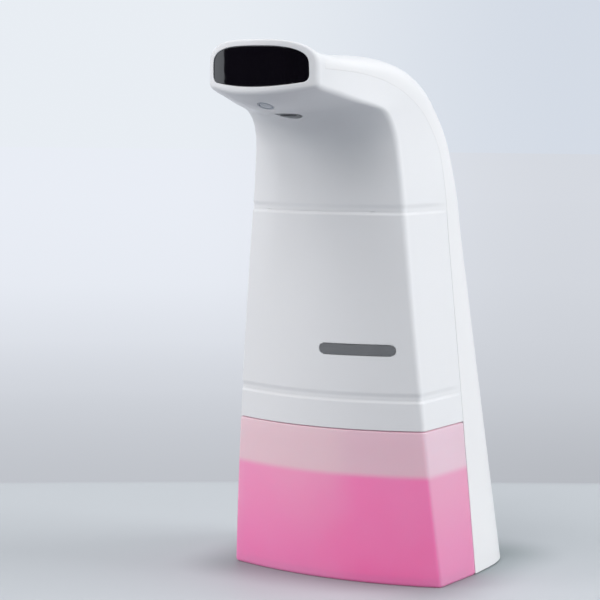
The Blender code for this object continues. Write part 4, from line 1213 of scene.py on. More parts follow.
def tank_outline(height, distance=0.0):
    """Level outline of the tank at a height, moved inwards by a distance."""
    row = tower_row(height)
    front = front_half(row, GAP / 2)[:, :2]
    shoulder = front[-1]
    rear = rear_half_width(row, TANK_REAR) - WALL - 2 * GAP
    step = np.array([rear, shoulder[1]])
    corner_start = np.array([rear, TANK_REAR - TANK_REAR_RADIUS])
    outer_turn = soft_turn(front[-2], shoulder, step, STEP_SOFTNESS + distance)
    inner_turn = soft_turn(shoulder, step, corner_start, STEP_SOFTNESS)
    angles = np.linspace(0, math.pi / 2, ARC_POINTS)
    arc = np.column_stack([rear - TANK_REAR_RADIUS * (1 - np.cos(angles)),
                           TANK_REAR - TANK_REAR_RADIUS * (1 - np.sin(angles))])
    flat = np.column_stack([np.linspace(arc[-1, 0], 0, REAR_POINTS + 1)[1:],
                            np.full(REAR_POINTS, TANK_REAR)])
    right = np.vstack([front[:-2], outer_turn, inner_turn, arc, flat])
    left = (right * (-1, 1))[-2:0:-1]
    return inset(np.vstack([right, left]), distance)


print("tank outline points:", len(tank_outline(30 * MM)))

# %% [markdown]
# A ring is such an outline at one height. Rings run from the middle of the underside outwards, up,
# over the lip and back down inside, with quarter turns at the edges.

# %% Tank
LIP = 0.7 * MM
OUTSIDE_ROWS = 16
INSIDE_ROWS = 12
EDGE_ROWS = 6
LIP_ROWS = 5


def tank_ring(height, distance=0.0):
    outline = tank_outline(height, distance)
    return np.column_stack([outline, np.full(len(outline), height)])


def eased_rings(low_height, low_inset, high_height, high_inset, count, bottom):
    """Rings round a quarter turn between two insets, at the bottom or at the lip."""
    rings = []
    for angle in np.linspace(0, math.pi / 2, count):
        if bottom:
            rise, run = 1 - math.cos(angle), 1 - math.sin(angle)
        else:
            rise, run = math.sin(angle), math.cos(angle)
        height = mix(low_height, high_height, rise)
        rings.append(tank_ring(height, mix(high_inset, low_inset, run)))
    return rings


outside_levels = np.linspace(TANK_EDGE, TANK_HEIGHT - LIP, OUTSIDE_ROWS)
inside_levels = np.linspace(TANK_HEIGHT - LIP, TANK_FLOOR + TANK_EDGE, INSIDE_ROWS)
tank_rings = eased_rings(0, TANK_EDGE, TANK_EDGE, 0, EDGE_ROWS, True)
tank_rings += [tank_ring(level) for level in outside_levels[1:]]
tank_rings += eased_rings(TANK_HEIGHT - LIP, 0, TANK_HEIGHT, LIP, LIP_ROWS, False)[1:]
lip_inside = eased_rings(TANK_HEIGHT - LIP, TANK_WALL, TANK_HEIGHT, TANK_WALL - LIP, LIP_ROWS, False)
tank_rings += lip_inside[::-1]
tank_rings += [tank_ring(level, TANK_WALL) for level in inside_levels[1:]]
floor_rings = eased_rings(TANK_FLOOR, TANK_WALL + TANK_EDGE, TANK_FLOOR + TANK_EDGE, TANK_WALL,
                          EDGE_ROWS, True)
tank_rings += floor_rings[-2::-1]
tank_mesh = loft_mesh("tank_vessel", tank_rings)
print("tank rings:", len(tank_rings), "faces:", len(tank_mesh.polygons))

# %% [markdown]
# Frosted plastic lets soft light through and shows shapes behind it faintly. Real rough glass is
# slow and noisy to render. So each face is a pale pink surface that is partly see-through, and the
# soap inside is a body of its own, whose level one sees through the wall. First come the shares
# that tell where on the wall a point is: how far right, how high, how sideways and how dry.

# %% Places on the frosted wall
SOAP_LEVEL = 40.8 * MM
frosted = Finish("frosted_pink_tank", (0.88, 0.30, 0.55), 0.36)
frosted.soft(0.25, (1.0, 0.5, 0.6), 4)
spot = frosted.add("ShaderNodeSeparateXYZ", {"Vector": frosted.place})
# Painted shade: across x the front's tones turn deeper towards the right, away from the light.
low_shade_share = frosted.spread(spot["X"], -9 * MM, 12 * MM)
high_shade_share = frosted.spread(spot["X"], 2 * MM, 16 * MM)
rising = frosted.spread(spot["Z"], 4 * MM, SOAP_LEVEL)
dryness = frosted.spread(spot["Z"], SOAP_LEVEL - 1.2 * MM, SOAP_LEVEL + 1.8 * MM)
facing = frosted.add("ShaderNodeSeparateXYZ", {"Vector": frosted.coordinates["Normal"]})
sideways = frosted.calculate("Math", "ABSOLUTE", facing["X"])[0]
# Painted sheen: on faces turned sideways this share dulls the tones, for the strong light there.
side_sheen_share = frosted.spread(sideways, 0.55, 0.95)
print("the wall turns dry", SOAP_LEVEL / MM, "mm up")

# %% [markdown]
# Then those shares blend the tones. The wet wall is deep pink with cloudy patches, paler towards its
# top, and the dry wall above it is pale. Towards the right of the front both are painted deeper, a
# painted shade, as the light falls from the left. On faces turned sideways both are painted duller,
# a painted sheen that stands in for the strong light washing out the sides. A faint glow stands for
# the light that is scattered about inside the soap.

# %% Tones of the frosted wall
low_soap = frosted.blend(low_shade_share, (0.90, 0.26, 0.53), (0.94, 0.15, 0.44))
high_soap = frosted.blend(high_shade_share, (0.90, 0.40, 0.60), (0.96, 0.26, 0.54))
front_soap = frosted.blend(rising, low_soap, high_soap)
clouds = frosted.spread(frosted.noise(26, 2), 0.3, 0.7, 0.0, 0.55)
cloudy_soap = frosted.blend(clouds, front_soap, (0.92, 0.31, 0.57))
side_sheen_soap = frosted.blend(rising, (0.75, 0.30, 0.50), (0.75, 0.40, 0.55))
front_dry = frosted.blend(high_shade_share, (0.90, 0.67, 0.72), (0.88, 0.62, 0.70))
wet_wall = frosted.blend(side_sheen_share, cloudy_soap, side_sheen_soap)
dry_wall = frosted.blend(side_sheen_share, front_dry, (0.82, 0.64, 0.72))
glow = frosted.blend(dryness, (0.12, 0.024, 0.06), (0.06, 0.030, 0.042))
frosted.set("Base Color", frosted.blend(dryness, wet_wall, dry_wall))
frosted.set("Emission Color", glow)
frosted.set("Emission Strength", 1.0)
frosted.relief(frosted.noise(1500, 2), 0.02 * MM)
frosted.set("Alpha", 0.8)
new_piece("tank_vessel", tank_mesh, frosted.material, "tank", "tank", slot="frosted_tank")
print("frosted wall:", len(frosted.tree.nodes), "nodes")

# %% [markdown]
# The soap fills the tank almost to its walls. Its top is level, and slightly raised at the wall, as
# a liquid's is.

# %% Soap in the tank
SOAP_CLEARANCE = 0.12 * MM
SOAP_ROWS = 10
SOAP_TOP = ((0.6 * MM, 0.8 * MM), (0.8 * MM, 2.0 * MM))

soap_levels = np.linspace(TANK_FLOOR + TANK_EDGE, SOAP_LEVEL, SOAP_ROWS)
soap_rings = eased_rings(TANK_FLOOR + SOAP_CLEARANCE, TANK_WALL + TANK_EDGE, TANK_FLOOR + TANK_EDGE,
                         TANK_WALL + SOAP_CLEARANCE, 5, True)
soap_rings += [tank_ring(level, TANK_WALL + SOAP_CLEARANCE) for level in soap_levels[1:]]
soap_rings += [tank_ring(SOAP_LEVEL - drop, TANK_WALL + away) for drop, away in SOAP_TOP]
soap_pink = Finish("pink_foam_soap", (0.80, 0.085, 0.27), 0.25)
soap_pink.tint(soap_pink.spread(soap_pink.noise(28, 3), 0.35, 0.65), (0.72, 0.16, 0.32))
soap_pink.soft(0.5, (1.0, 0.35, 0.5), 8)
new_piece("soap_fill", loft_mesh("soap_fill", soap_rings), soap_pink.material, "tank",
          slot="frosted_tank")
print("soap stands", SOAP_LEVEL / MM, "mm high")

# %% [markdown]
# Small round pieces are turned: a profile of radius and height goes round an axis. The axis may
# lean, as it does for the lens under the chin and for all that sits along the back. So the
# finished mesh is turned and moved by a matrix, and its object stays at the origin.

# %% Turned pieces on a leaning axis
CHIN_PLACE = Vector((0, -73.005, 176.62)) * MM
CHIN_SLOPE = 0.4101
CHIN_FRAME = Matrix.Translation(CHIN_PLACE) @ Matrix.Rotation(-CHIN_SLOPE, 4, "X")
BACK_FRAME = Matrix.Translation((0, BASE_BACK, 0)) @ Matrix.Rotation(BACK_LEAN, 4, "X")
AXIS_POINT = 0.02


def soft_profile(corners, radius, count=3):
    """Rounds the inner corners of a profile, whose points are in millimetres."""
    corners = np.array(corners) * MM
    line = [corners[0]]
    for before, corner, after in zip(corners, corners[1:], corners[2:]):
        shorter = min(np.linalg.norm(before - corner), np.linalg.norm(after - corner))
        line += list(soft_turn(before, corner, after, min(radius, 0.45 * shorter), count))
    return np.array([*line, corners[-1]])


def turned_mesh(name, corners, place=Matrix(), softness=0.3 * MM, steps=64):
    mesh = loft_mesh(name, turned_rings(soft_profile(corners, softness), (0, 0, 0), steps))
    mesh.transform(place)
    return mesh


print("chin slopes by", round(math.degrees(CHIN_SLOPE), 1), "degrees")

# %% [markdown]
# The foam nozzle is a dark grey moulding. Its tip stands a little out of the underside and is well
# rounded, its collar holds it behind the wall, and foam leaves through the recess in its end. Its
# dark grey is partly its own colour and partly painted shade, for the shade in its opening.

# %% Foam nozzle
NOZZLE_BOTTOM = 172.593 * MM
nozzle_corners = [(AXIS_POINT, 15.5), (5.5, 15.5), (5.5, 7.2), (6.8, 7.2), (6.8, 5.2), (4.7, 5.2),
                  (4.7, 3.4), (4.45, 2.5), (3.95, 1.6), (3.5, 1.0), (3.3, 0.8), (3.2, 1.0),
                  (3.2, 2.1), (AXIS_POINT, 2.1)]
# Partly painted shade: the dark grey also stands in for the shade in the nozzle's opening.
nozzle_dark_and_shade = Finish("dark_nozzle_moulding", (0.17, 0.18, 0.19), 0.42)
nozzle_dark_and_shade.wear(tone=((0.20, 0.21, 0.22), 400, 2), gloss=(0.36, 0.5, 900, 2), grain=(0.01, 5000, 1))
nozzle_place = Matrix.Translation((0, NOZZLE_Y, NOZZLE_BOTTOM))
nozzle = new_piece("nozzle_tip", turned_mesh("nozzle_tip", nozzle_corners, nozzle_place),
                   nozzle_dark_and_shade.material, "housing", "foam_nozzle", slot="dark_plastic")
print("nozzle faces:", len(nozzle.data.polygons))

# %% [markdown]
# The little lens in front of it is milky plastic in a thin bezel of its own. The groove between
# the two is what one sees of it, so the groove is cut into the profile.

# %% Lens under the chin
lens_corners = [(AXIS_POINT, 3.2), (2.9, 3.2), (3.0, 3.0), (3.0, 0.0), (2.9, -0.1), (2.55, -0.1),
                (2.5, 0.75), (2.2, 0.75), (2.15, -0.02), (1.5, -0.07), (AXIS_POINT, -0.1)]
milky = Finish("milky_lens", (0.60, 0.62, 0.65), 0.2)
milky.soft(0.3, (0.8, 0.9, 1.0), 1)
milky.wear(tone=((0.56, 0.60, 0.66), 900, 2), grain=(0.004, 3000, 1))
lens = new_piece("lens_and_bezel", turned_mesh("lens_and_bezel", lens_corners, CHIN_FRAME, 0.12 * MM),
                 milky.material, "housing", "chin_lens", slot="white_shell")
print("lens faces:", len(lens.data.polygons))

# %% [markdown]
# What repeats is made with Geometry Nodes. A recipe is a node tree built here, with named inputs
# for its sizes. Running it on a helper object gives a plain mesh, and the helper is thrown away.


# %% Recipes in Geometry Nodes
class Recipe(NodeTree):
    """A Geometry Nodes tree whose sizes are named inputs."""

    def __init__(self, name, *sizes):
        super().__init__(bpy.data.node_groups.new(name, "GeometryNodeTree"))
        face = self.tree.interface
        face.new_socket("Geometry", in_out="INPUT", socket_type="NodeSocketGeometry")
        for size in sizes:
            face.new_socket(size, in_out="INPUT", socket_type="NodeSocketFloat")
        face.new_socket("Geometry", in_out="OUTPUT", socket_type="NodeSocketGeometry")
        self.size = self.add("NodeGroupInput")

    def make(self, kind, inputs=(), **settings):
        """The first output of a new Geometry node."""
        return self.add("GeometryNode" + kind, inputs, **settings)[0]

    def sum(self, operation, *values):
        return self.calculate("Math", operation, *values)[0]

    def vector(self, **parts):
        return self.add("ShaderNodeCombineXYZ", parts)[0]

    def close(self, geometry, material):
        whole = self.make("RealizeInstances", {"Geometry": geometry})
        painted = self.make("SetMaterial", {"Geometry": whole, "Material": material})
        self.add("NodeGroupOutput", {0: painted})

    def run(self, name, base=None, place=Matrix(), **sizes):
        base = base or bpy.data.meshes.new(name)
        helper = bpy.data.objects.new(name, base)
        bpy.context.scene.collection.objects.link(helper)
        modifier = helper.modifiers.new("Recipe", "NODES")
        modifier.node_group = self.tree
        for item in self.tree.interface.items_tree:
            if item.in_out == "INPUT" and item.name in sizes:
                modifier[item.identifier] = sizes[item.name]
        graph = bpy.context.evaluated_depsgraph_get()
        mesh = bpy.data.meshes.new_from_object(helper.evaluated_get(graph))
        bpy.data.objects.remove(helper)
        mesh.name = name
        mesh.transform(place)
        return mesh


print("recipes are ready")

# %% [markdown]
# Foam is made by pressing soap and air through a fine nylon mesh. Each wire is a curve that waves
# over and under the wires across it. One set of wires is made, and a quarter turn and the opposite
# wave give the other set. Wires outside the round frame are trimmed away.

# %% Recipe of a woven mesh
nylon = Finish("nylon_mesh", (0.10, 0.10, 0.11), 0.4)
nylon.wear(tone=((0.14, 0.14, 0.15), 3000, 1), grain=(0.003, 9000, 1))

weave = Recipe("woven_mesh", "Radius", "Spacing", "Wire", "Wires")
radius, spacing, wire, wires = [weave.size[name] for name in ("Radius", "Spacing", "Wire", "Wires")]
below = weave.sum("MULTIPLY", radius, -1.0)
steps = weave.sum("MULTIPLY", wires, 4.0)
line = weave.make("CurvePrimitiveLine", {"Start": weave.vector(Y=below), "End": weave.vector(Y=radius)})
long = weave.make("ResampleCurve", {"Curve": line, "Count": steps})
row = weave.make("MeshLine", {"Count": wires, "Start Location": weave.vector(X=below),
                             "Offset": weave.vector(X=radius)}, mode="END_POINTS")
beside = weave.make("InstanceOnPoints", {"Points": row, "Instance": long})
strands = weave.make("RealizeInstances", {"Geometry": beside})
position = weave.make("InputPosition")
apart = weave.add("ShaderNodeSeparateXYZ", {0: position})
cells = weave.sum("DIVIDE", weave.sum("ADD", apart["X"], apart["Y"]), spacing)
wave = weave.sum("COSINE", weave.sum("MULTIPLY", cells, math.pi))
lift = weave.sum("MULTIPLY", wave, wire)
length = weave.calculate("VectorMath", "LENGTH", position)["Value"]
outside = weave.sum("GREATER_THAN", length, radius)
crossing = []
for sign, turn in ((1.0, 0.0), (-1.0, math.pi / 2)):
    moved = weave.make("SetPosition", {"Geometry": strands,
                                      "Offset": weave.vector(Z=weave.sum("MULTIPLY", lift, sign))})
    trimmed = weave.make("DeleteGeometry", {"Geometry": moved, "Selection": outside})
    crossing.append(weave.make("Transform", {"Geometry": trimmed, "Rotation": (0, 0, turn)}))
both = weave.make("JoinGeometry", {0: crossing})
profile = weave.make("CurvePrimitiveCircle", {"Resolution": 5, "Radius": wire})
wired = weave.make("CurveToMesh", {"Curve": both, "Profile Curve": profile, "Fill Caps": True})
weave.close(wired, nylon.material)
print("weave recipe:", len(weave.tree.nodes), "nodes")

# %% [markdown]
# The mesh sits in a thin ring right behind the nozzle. The ring stands for the CAD node, and the
# cloth of wires is a new piece inside it.

# %% Foaming mesh and its ring
MESH_PLACE = (0, NOZZLE_Y, 173.39 * MM)
ring_corners = [(2.3, 0.5), (2.9, 0.5), (2.9, -0.5), (2.3, -0.5), (2.3, 0.5)]
ring_mesh = loft_mesh("foam_mesh_frame", turned_rings(np.array(ring_corners) * MM, MESH_PLACE),
                      capped=False)
new_piece("foam_mesh_frame", ring_mesh, nylon.material, "housing", "foam_mesh", slot="dark_plastic")
cloth_mesh = weave.run("foam_mesh_weave", place=Matrix.Translation(MESH_PLACE), Radius=2.4 * MM,
                       Spacing=0.3 * MM, Wire=0.06 * MM, Wires=17)
new_piece("foam_mesh_weave", cloth_mesh, nylon.material, "housing", slot="dark_plastic")
print("mesh wires have", len(cloth_mesh.polygons), "faces")

# %% [markdown]
# The power button is a dished cap with a soft rim, and its flange stays behind the cover. Its axis
# stands square to the leaning back, so its profile is turned a quarter first.

# %% Power button
BUTTON_ALONG = 133.906 * MM
button_corners = [(AXIS_POINT, 0.75), (1.6, 0.78), (3.3, 1.0), (3.75, 1.18), (4.2, 1.2), (4.5, 0.85),
                  (4.5, -2.5), (5.7, -2.5), (5.7, -3.7), (AXIS_POINT, -3.7)]
button_place = (BACK_FRAME @ Matrix.Translation((0, 0, BUTTON_ALONG))
                @ Matrix.Rotation(-math.pi / 2, 4, "X"))
button_grey = Finish("satin_grey_button", (0.33, 0.335, 0.345), 0.38)
button_grey.wear(tone=((0.36, 0.365, 0.375), 200, 2), gloss=(0.32, 0.48, 500, 2), grain=(0.008, 4000, 1))
button = new_piece("button_cap", turned_mesh("button_cap", button_corners, button_place),
                   button_grey.material, "power_button", "power_button", slot="grey_badge")
print("button faces:", len(button.data.polygons))

# %% [markdown]
# Five raised bars near the upper edge of the battery door give the thumb a grip. One bar is a
# slim rounded rod, half sunk in the door. The recipe repeats it along the leaning back.

# %% Grip bars of the battery door
BAR_HALF = 8 * MM
BAR_PROUD = 0.45 * MM
BAR_WIDE = 0.7 * MM
BAR_PITCH = 2.4 * MM
BAR_FIRST = 109 * MM
BAR_STEPS = 25
BAR_SIDES = 16
BAR_TIP = math.pi / 2 - 0.06
BAR_BLUNTNESS = 0.35

ladder = Recipe("ladder_of_bars", "Bars", "Pitch")
rungs = ladder.make("MeshLine", {"Count": ladder.size["Bars"],
                                "Offset": ladder.vector(Z=ladder.size["Pitch"])})
bars = ladder.make("InstanceOnPoints", {"Points": rungs, "Instance": ladder.size["Geometry"]})
ladder.close(bars, cover_white)

around = np.linspace(0, math.tau, BAR_SIDES, endpoint=False)
bar_rings = []
for angle in np.linspace(-BAR_TIP, BAR_TIP, BAR_STEPS):
    fat = math.cos(angle) ** BAR_BLUNTNESS
    bar_rings.append(np.column_stack([np.full(BAR_SIDES, BAR_HALF * math.sin(angle)),
                                      BAR_PROUD * fat * np.cos(around), BAR_WIDE * fat * np.sin(around)]))
first_bar = BACK_FRAME @ Matrix.Translation((0, 0, BAR_FIRST))
grip_mesh = ladder.run("door_grip_bars", loft_mesh("bar", bar_rings), first_bar, Bars=5, Pitch=BAR_PITCH)
grips = new_piece("door_grip_bars", grip_mesh, cover_white, "battery_door", slot="white_shell")
print("grip bars:", len(grips.data.polygons), "faces")

# %% [markdown]
# Four self-tapping screws hold the pump deck from below. Their thread is a ridge whose height
# depends on angle and height together, and the cross recess is a star-shaped ring led into the
# head. All sizes of the profile are in millimetres.

# %% Profile of a screw
SCREW_SIDES = 48
SHANK_RADIUS = 1.17
THREAD_PITCH = 1.1
THREAD_DEPTH = 0.28
THREAD_ROWS = 62
head_corners = [(1.9, -1.5), (2.3, -1.4), (2.6, -0.9), (2.6, 0), (SHANK_RADIUS, 0)]
screw_angles = np.linspace(0, math.tau, SCREW_SIDES, endpoint=False)


def cross_ring(height, arm, half_width):
    """A plus-shaped ring, one point for each direction."""
    ring = []
    for angle in screw_angles:
        turn = (angle + math.pi / 4) % (math.pi / 2) - math.pi / 4
        reach = arm / math.cos(turn)
        if abs(math.tan(turn)) > half_width / arm:
            reach = half_width / abs(math.sin(turn))
        ring.append((reach * math.cos(angle), reach * math.sin(angle), height))
    return np.array(ring) * MM


def screw_ring(radius, height):
    return np.column_stack([radius * np.cos(screw_angles), radius * np.sin(screw_angles),
                            np.full(SCREW_SIDES, height)]) * MM


screw_rings = [cross_ring(-0.5, 0.2, 0.1), cross_ring(-0.5, 1.0, 0.3), cross_ring(-1.48, 1.3, 0.36)]
screw_rings += [screw_ring(*corner) for corner in soft_profile(head_corners, 0.3 * MM) / MM]
for height in np.linspace(0.3, 7.0, THREAD_ROWS):
    ridge = np.abs((height / THREAD_PITCH - screw_angles / math.tau) % 1 - 0.5) * 2
    screw_rings.append(screw_ring(SHANK_RADIUS + THREAD_DEPTH * ridge ** 3, height))
screw_rings.append(screw_ring(0.2, 8.0))
print("a screw has", len(screw_rings), "rings")

# %% [markdown]
# A recipe sets the one screw on the four corners of a grid, whose width, front, rear and level are
# its sizes.

# %% Deck screws
SCREW_PLACES = {"Half span": 27.0 * MM, "Front": -18.0 * MM, "Rear": 5.0 * MM, "Level": 58.6 * MM}

screw_steel = Finish("zinc_plated_screw", (0.60, 0.61, 0.63), 0.34, metallic=1.0)
screw_steel.wear(tone=((0.52, 0.53, 0.54), 800, 2), gloss=(0.28, 0.45, 1500, 2), grain=(0.004, 6000, 1))

quad = Recipe("four_corners", *SCREW_PLACES)
width = quad.sum("MULTIPLY", quad.size["Half span"], 2.0)
long_side = quad.sum("SUBTRACT", quad.size["Rear"], quad.size["Front"])
middle_y = quad.sum("MULTIPLY", quad.sum("ADD", quad.size["Rear"], quad.size["Front"]), 0.5)
grid = quad.make("MeshGrid", {"Size X": width, "Size Y": long_side, "Vertices X": 2, "Vertices Y": 2})
set_out = quad.make("Transform", {"Geometry": grid,
                                 "Translation": quad.vector(Y=middle_y, Z=quad.size["Level"])})
driven = quad.make("InstanceOnPoints", {"Points": set_out, "Instance": quad.size["Geometry"]})
quad.close(driven, screw_steel.material)
screw_mesh = quad.run("deck_screws", loft_mesh("deck_screw", screw_rings), **SCREW_PLACES)
new_piece("deck_screws", screw_mesh, screw_steel.material, "housing", "deck_screw_1",
          "deck_screw_2", "deck_screw_3", "deck_screw_4", slot="steel")
print("screws have", len(screw_mesh.polygons), "faces")

# %% [markdown]
# The four cells lie side by side and point up and down in turn. Each has a can with rolled
# shoulders, a terminal and a sleeve. The sleeve's bare metal ends and its copper band depend on the
# place along the cell, so that place is kept on the mesh as an attribute.

# %% Battery cells
CELL_LENGTH = 44.5
CELL_START = 70.7 * MM
CELL_END = 115.2 * MM
CELL_DEPTH = -9.6108 * MM
CELL_PITCH = 11.9 * MM
cell_corners = [(AXIS_POINT, 0.25), (3.4, 0.25), (3.9, 0.0), (4.8, 0.02), (5.25, 0.5), (5.25, 42.9),
                (4.9, 43.5), (4.2, 43.7), (2.6, 43.45), (1.9, 43.6), (1.9, 44.35),
                (1.6, CELL_LENGTH), (AXIS_POINT, CELL_LENGTH)]
sleeve = Finish("battery_sleeve", (0.055, 0.06, 0.075), 0.32, metallic=0.2)
bare_metal = (0.62, 0.62, 0.62)
along = sleeve.add("ShaderNodeAttribute", attribute_name="along")["Fac"]
copper = sleeve.blend(sleeve.spread(along, 33.4, 33.6), sleeve.colour, (0.56, 0.30, 0.14))
capped = sleeve.blend(sleeve.spread(along, 43.2, 43.3), copper, bare_metal)
worn = sleeve.blend(sleeve.spread(sleeve.noise(500, 4), 0.62, 0.8), capped, (0.30, 0.28, 0.26))
sleeve.set("Base Color", sleeve.blend(sleeve.spread(along, 0.6, 0.4), worn, bare_metal))
sleeve.wear(gloss=(0.26, 0.42, 700, 2), grain=(0.006, 1200, 2))
for index in range(4):
    name = f"cell_{index + 1}"
    flipped = index % 2 == 1
    place = BACK_FRAME @ Matrix.Translation(((index - 1.5) * CELL_PITCH, CELL_DEPTH,
                                             CELL_END if flipped else CELL_START))
    if flipped:
        place = place @ Matrix.Rotation(math.pi, 4, "X")
    mesh = turned_mesh(f"battery_{name}", cell_corners, softness=0.25 * MM, steps=48)
    heights = mesh.attributes.new("along", "FLOAT", "POINT")
    heights.data.foreach_set("value", [vertex.co.z / MM for vertex in mesh.vertices])
    mesh.transform(place)
    new_piece(f"battery_{name}", mesh, sleeve.material, "housing", name, slot="cell_sleeve")
print("cells are", CELL_LENGTH, "mm long")

# %% [markdown]
# Where a cell's flat end meets a contact plate, a flat spiral pressed in the plate touches it. The
# recipe makes one spiral as a curve with a round profile and repeats it along the plate.

# %% Contact spirals
plated = Finish("plated_contact", (0.70, 0.60, 0.34), 0.34, metallic=1.0)
plated.wear(tone=((0.60, 0.50, 0.28), 600, 2), gloss=(0.29, 0.44, 1200, 2), grain=(0.005, 4000, 1))

coil = Recipe("row_of_spirals", "Outer", "Wire", "Pitch")
turns = coil.make("CurveSpiral", {"Resolution": 24, "Rotations": 4.0, "Start Radius": 0.6 * MM,
                                 "End Radius": coil.size["Outer"], "Height": 0.0})
section = coil.make("CurvePrimitiveCircle", {"Resolution": 6, "Radius": coil.size["Wire"]})
wound = coil.make("CurveToMesh", {"Curve": turns, "Profile Curve": section, "Fill Caps": True})
posts = coil.make("MeshLine", {"Count": 2, "Offset": coil.vector(X=coil.size["Pitch"])})
spirals = coil.make("InstanceOnPoints", {"Points": posts, "Instance": wound})
coil.close(spirals, plated.material)
for name, first, level in (("low_spirals", -1.5, 70.5), ("high_spirals", -0.5, 115.4)):
    place = BACK_FRAME @ Matrix.Translation((first * CELL_PITCH, CELL_DEPTH, level * MM))
    new_piece(name, coil.run(name, place=place, Outer=3.6 * MM, Wire=0.09 * MM, Pitch=2 * CELL_PITCH),
              plated.material, "housing", slot="contact_metal")
print("spirals are 7.2 mm across")

# %% [markdown]
# The pickup filter is a small cage that keeps flakes out of the pump. Its slats stand on a circle
# between two discs, each turned to face outwards, and leave slots for the soap. It hangs under the
# pickup tube, just clear of the tank's floor.

# %% Pickup filter
filter_white = Finish("filter_moulding", (0.80, 0.81, 0.82), 0.4)
filter_white.wear(tone=((0.74, 0.75, 0.77), 400, 2), gloss=(0.34, 0.46, 800, 2), grain=(0.006, 3000, 1))

cage = Recipe("slatted_cage", "Radius", "Slats", "Height", "Disc", "Slat")
size = cage.size
slat_line = cage.sum("SUBTRACT", size["Radius"], size["Slat"])
stands = cage.make("MeshCircle", {"Vertices": size["Slats"], "Radius": slat_line})
turn_step = cage.sum("DIVIDE", math.tau, size["Slats"])
turned = cage.sum("MULTIPLY", cage.make("InputIndex"), turn_step)
slat_box = cage.make("MeshCube", {"Size": cage.vector(X=cage.sum("MULTIPLY", size["Slat"], 2.0),
                                                     Y=size["Slat"], Z=size["Height"])})
slats = cage.make("InstanceOnPoints", {"Points": stands, "Instance": slat_box,
                                      "Rotation": cage.vector(Z=turned)})
half_height = cage.sum("MULTIPLY", cage.sum("SUBTRACT", size["Height"], size["Disc"]), 0.5)
disc = cage.make("MeshCylinder", {"Vertices": 48, "Radius": size["Radius"], "Depth": size["Disc"]})
discs = [cage.make("Transform", {"Geometry": disc, "Translation": cage.vector(
    Z=cage.sum("MULTIPLY", half_height, sign))}) for sign in (1.0, -1.0)]
core = cage.make("MeshCylinder", {"Vertices": 24, "Radius": cage.sum("MULTIPLY", size["Radius"], 0.55),
                                 "Depth": cage.sum("MULTIPLY", size["Height"], 0.96)})
cage.close(cage.make("JoinGeometry", {0: [slats, *discs, core]}), filter_white.material)

FILTER_HEIGHT = 8 * MM
FILTER_MIDDLE = Vector((0, 4.986 * MM, 3.6 * MM + FILTER_HEIGHT / 2))

filter_mesh = cage.run("slatted_filter", place=Matrix.Translation(FILTER_MIDDLE), Radius=4 * MM,
                       Slats=18, Height=FILTER_HEIGHT, Disc=1.2 * MM, Slat=0.7 * MM)
new_piece("slatted_filter", filter_mesh, filter_white.material, "housing", "pickup_filter",
          slot="white_shell")
print("filter faces:", len(filter_mesh.polygons))

# %% [markdown]
# A silicone hose carries the foam mix up through the neck: straight up, then a quarter turn into
# the nozzle. A short recipe sweeps a circle along its route.

# %% Delivery hose
HOSE_Y = -24.014 * MM
HOSE_START = 70.0 * MM
HOSE_END = Vector((0, -51.7, 185.293)) * MM
HOSE_RADIUS = 2.5 * MM
hose_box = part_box("delivery_hose")
silicone = Finish("milky_silicone", (0.74, 0.76, 0.78), 0.42)
silicone.soft(0.3, (0.9, 0.9, 1.0), 2)
silicone.wear(tone=((0.69, 0.71, 0.74), 150, 2), gloss=(0.36, 0.5, 400, 2), grain=(0.01, 1500, 1))

sweep = Recipe("swept_tube", "Radius")
route = sweep.make("MeshToCurve", {"Mesh": sweep.size["Geometry"]})
round_profile = sweep.make("CurvePrimitiveCircle", {"Resolution": 24, "Radius": sweep.size["Radius"]})
tube = sweep.make("CurveToMesh", {"Curve": route, "Profile Curve": round_profile, "Fill Caps": True})
sweep.close(tube, silicone.material)

bend_radius = HOSE_Y - HOSE_END.y
bend_start = HOSE_END.z - bend_radius
hose_points = [(0, HOSE_Y, mix(HOSE_START, bend_start, share)) for share in np.linspace(0, 1, 12)]
for angle in np.linspace(0, math.pi / 2, 33)[1:]:
    hose_points.append((0, HOSE_Y - bend_radius * (1 - math.cos(angle)),
                        bend_start + bend_radius * math.sin(angle)))
hose_line = bpy.data.meshes.new("hose_line")
hose_line.from_pydata(hose_points, [(k, k + 1) for k in range(len(hose_points) - 1)], [])
hose = new_piece("foam_hose", sweep.run("foam_hose", hose_line, Radius=HOSE_RADIUS), silicone.material,
                 "housing", "delivery_hose", slot="clear_tube")
print("hose CAD box", hose_box, "hose faces", len(hose.data.polygons))

# %% [markdown]
# Two soft rubber feet level the spine. A foot is a pad with a rounded edge and a shallow hollow
# underneath, so that it grips by its rim.

# %% Rear feet
FOOT_X = 21.996 * MM
FOOT_Y = 29.3 * MM
foot_corners = [(AXIS_POINT, 0.35), (2.2, 0.35), (2.7, 0.0), (3.7, 0.0), (4.0, 0.35), (4.0, 1.2),
                (AXIS_POINT, 1.2)]
foot_rubber = Finish("soft_grey_rubber", (0.66, 0.66, 0.67), 0.7)
foot_rubber.wear(tone=((0.58, 0.58, 0.59), 300, 3), gloss=(0.6, 0.85, 700, 2), grain=(0.03, 2500, 2))
for name, x in (("rear_foot_left", -FOOT_X), ("rear_foot_right", FOOT_X)):
    foot_mesh = turned_mesh("pad_" + name, foot_corners, Matrix.Translation((x, FOOT_Y, 0)))
    new_piece("pad_" + name, foot_mesh, foot_rubber.material, "housing", name, slot="rubber")
print("feet are 8 mm across")

# %% [markdown]
# The other CAD pieces have the right shape already, and only their materials are missing. A helper
# puts a finish in the slots of their own nodes.


# %% Dressing the CAD pieces that stay
def dress(finish, *names):
    for name in names:
        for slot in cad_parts[name].material_slots:
            slot.material = finish.material


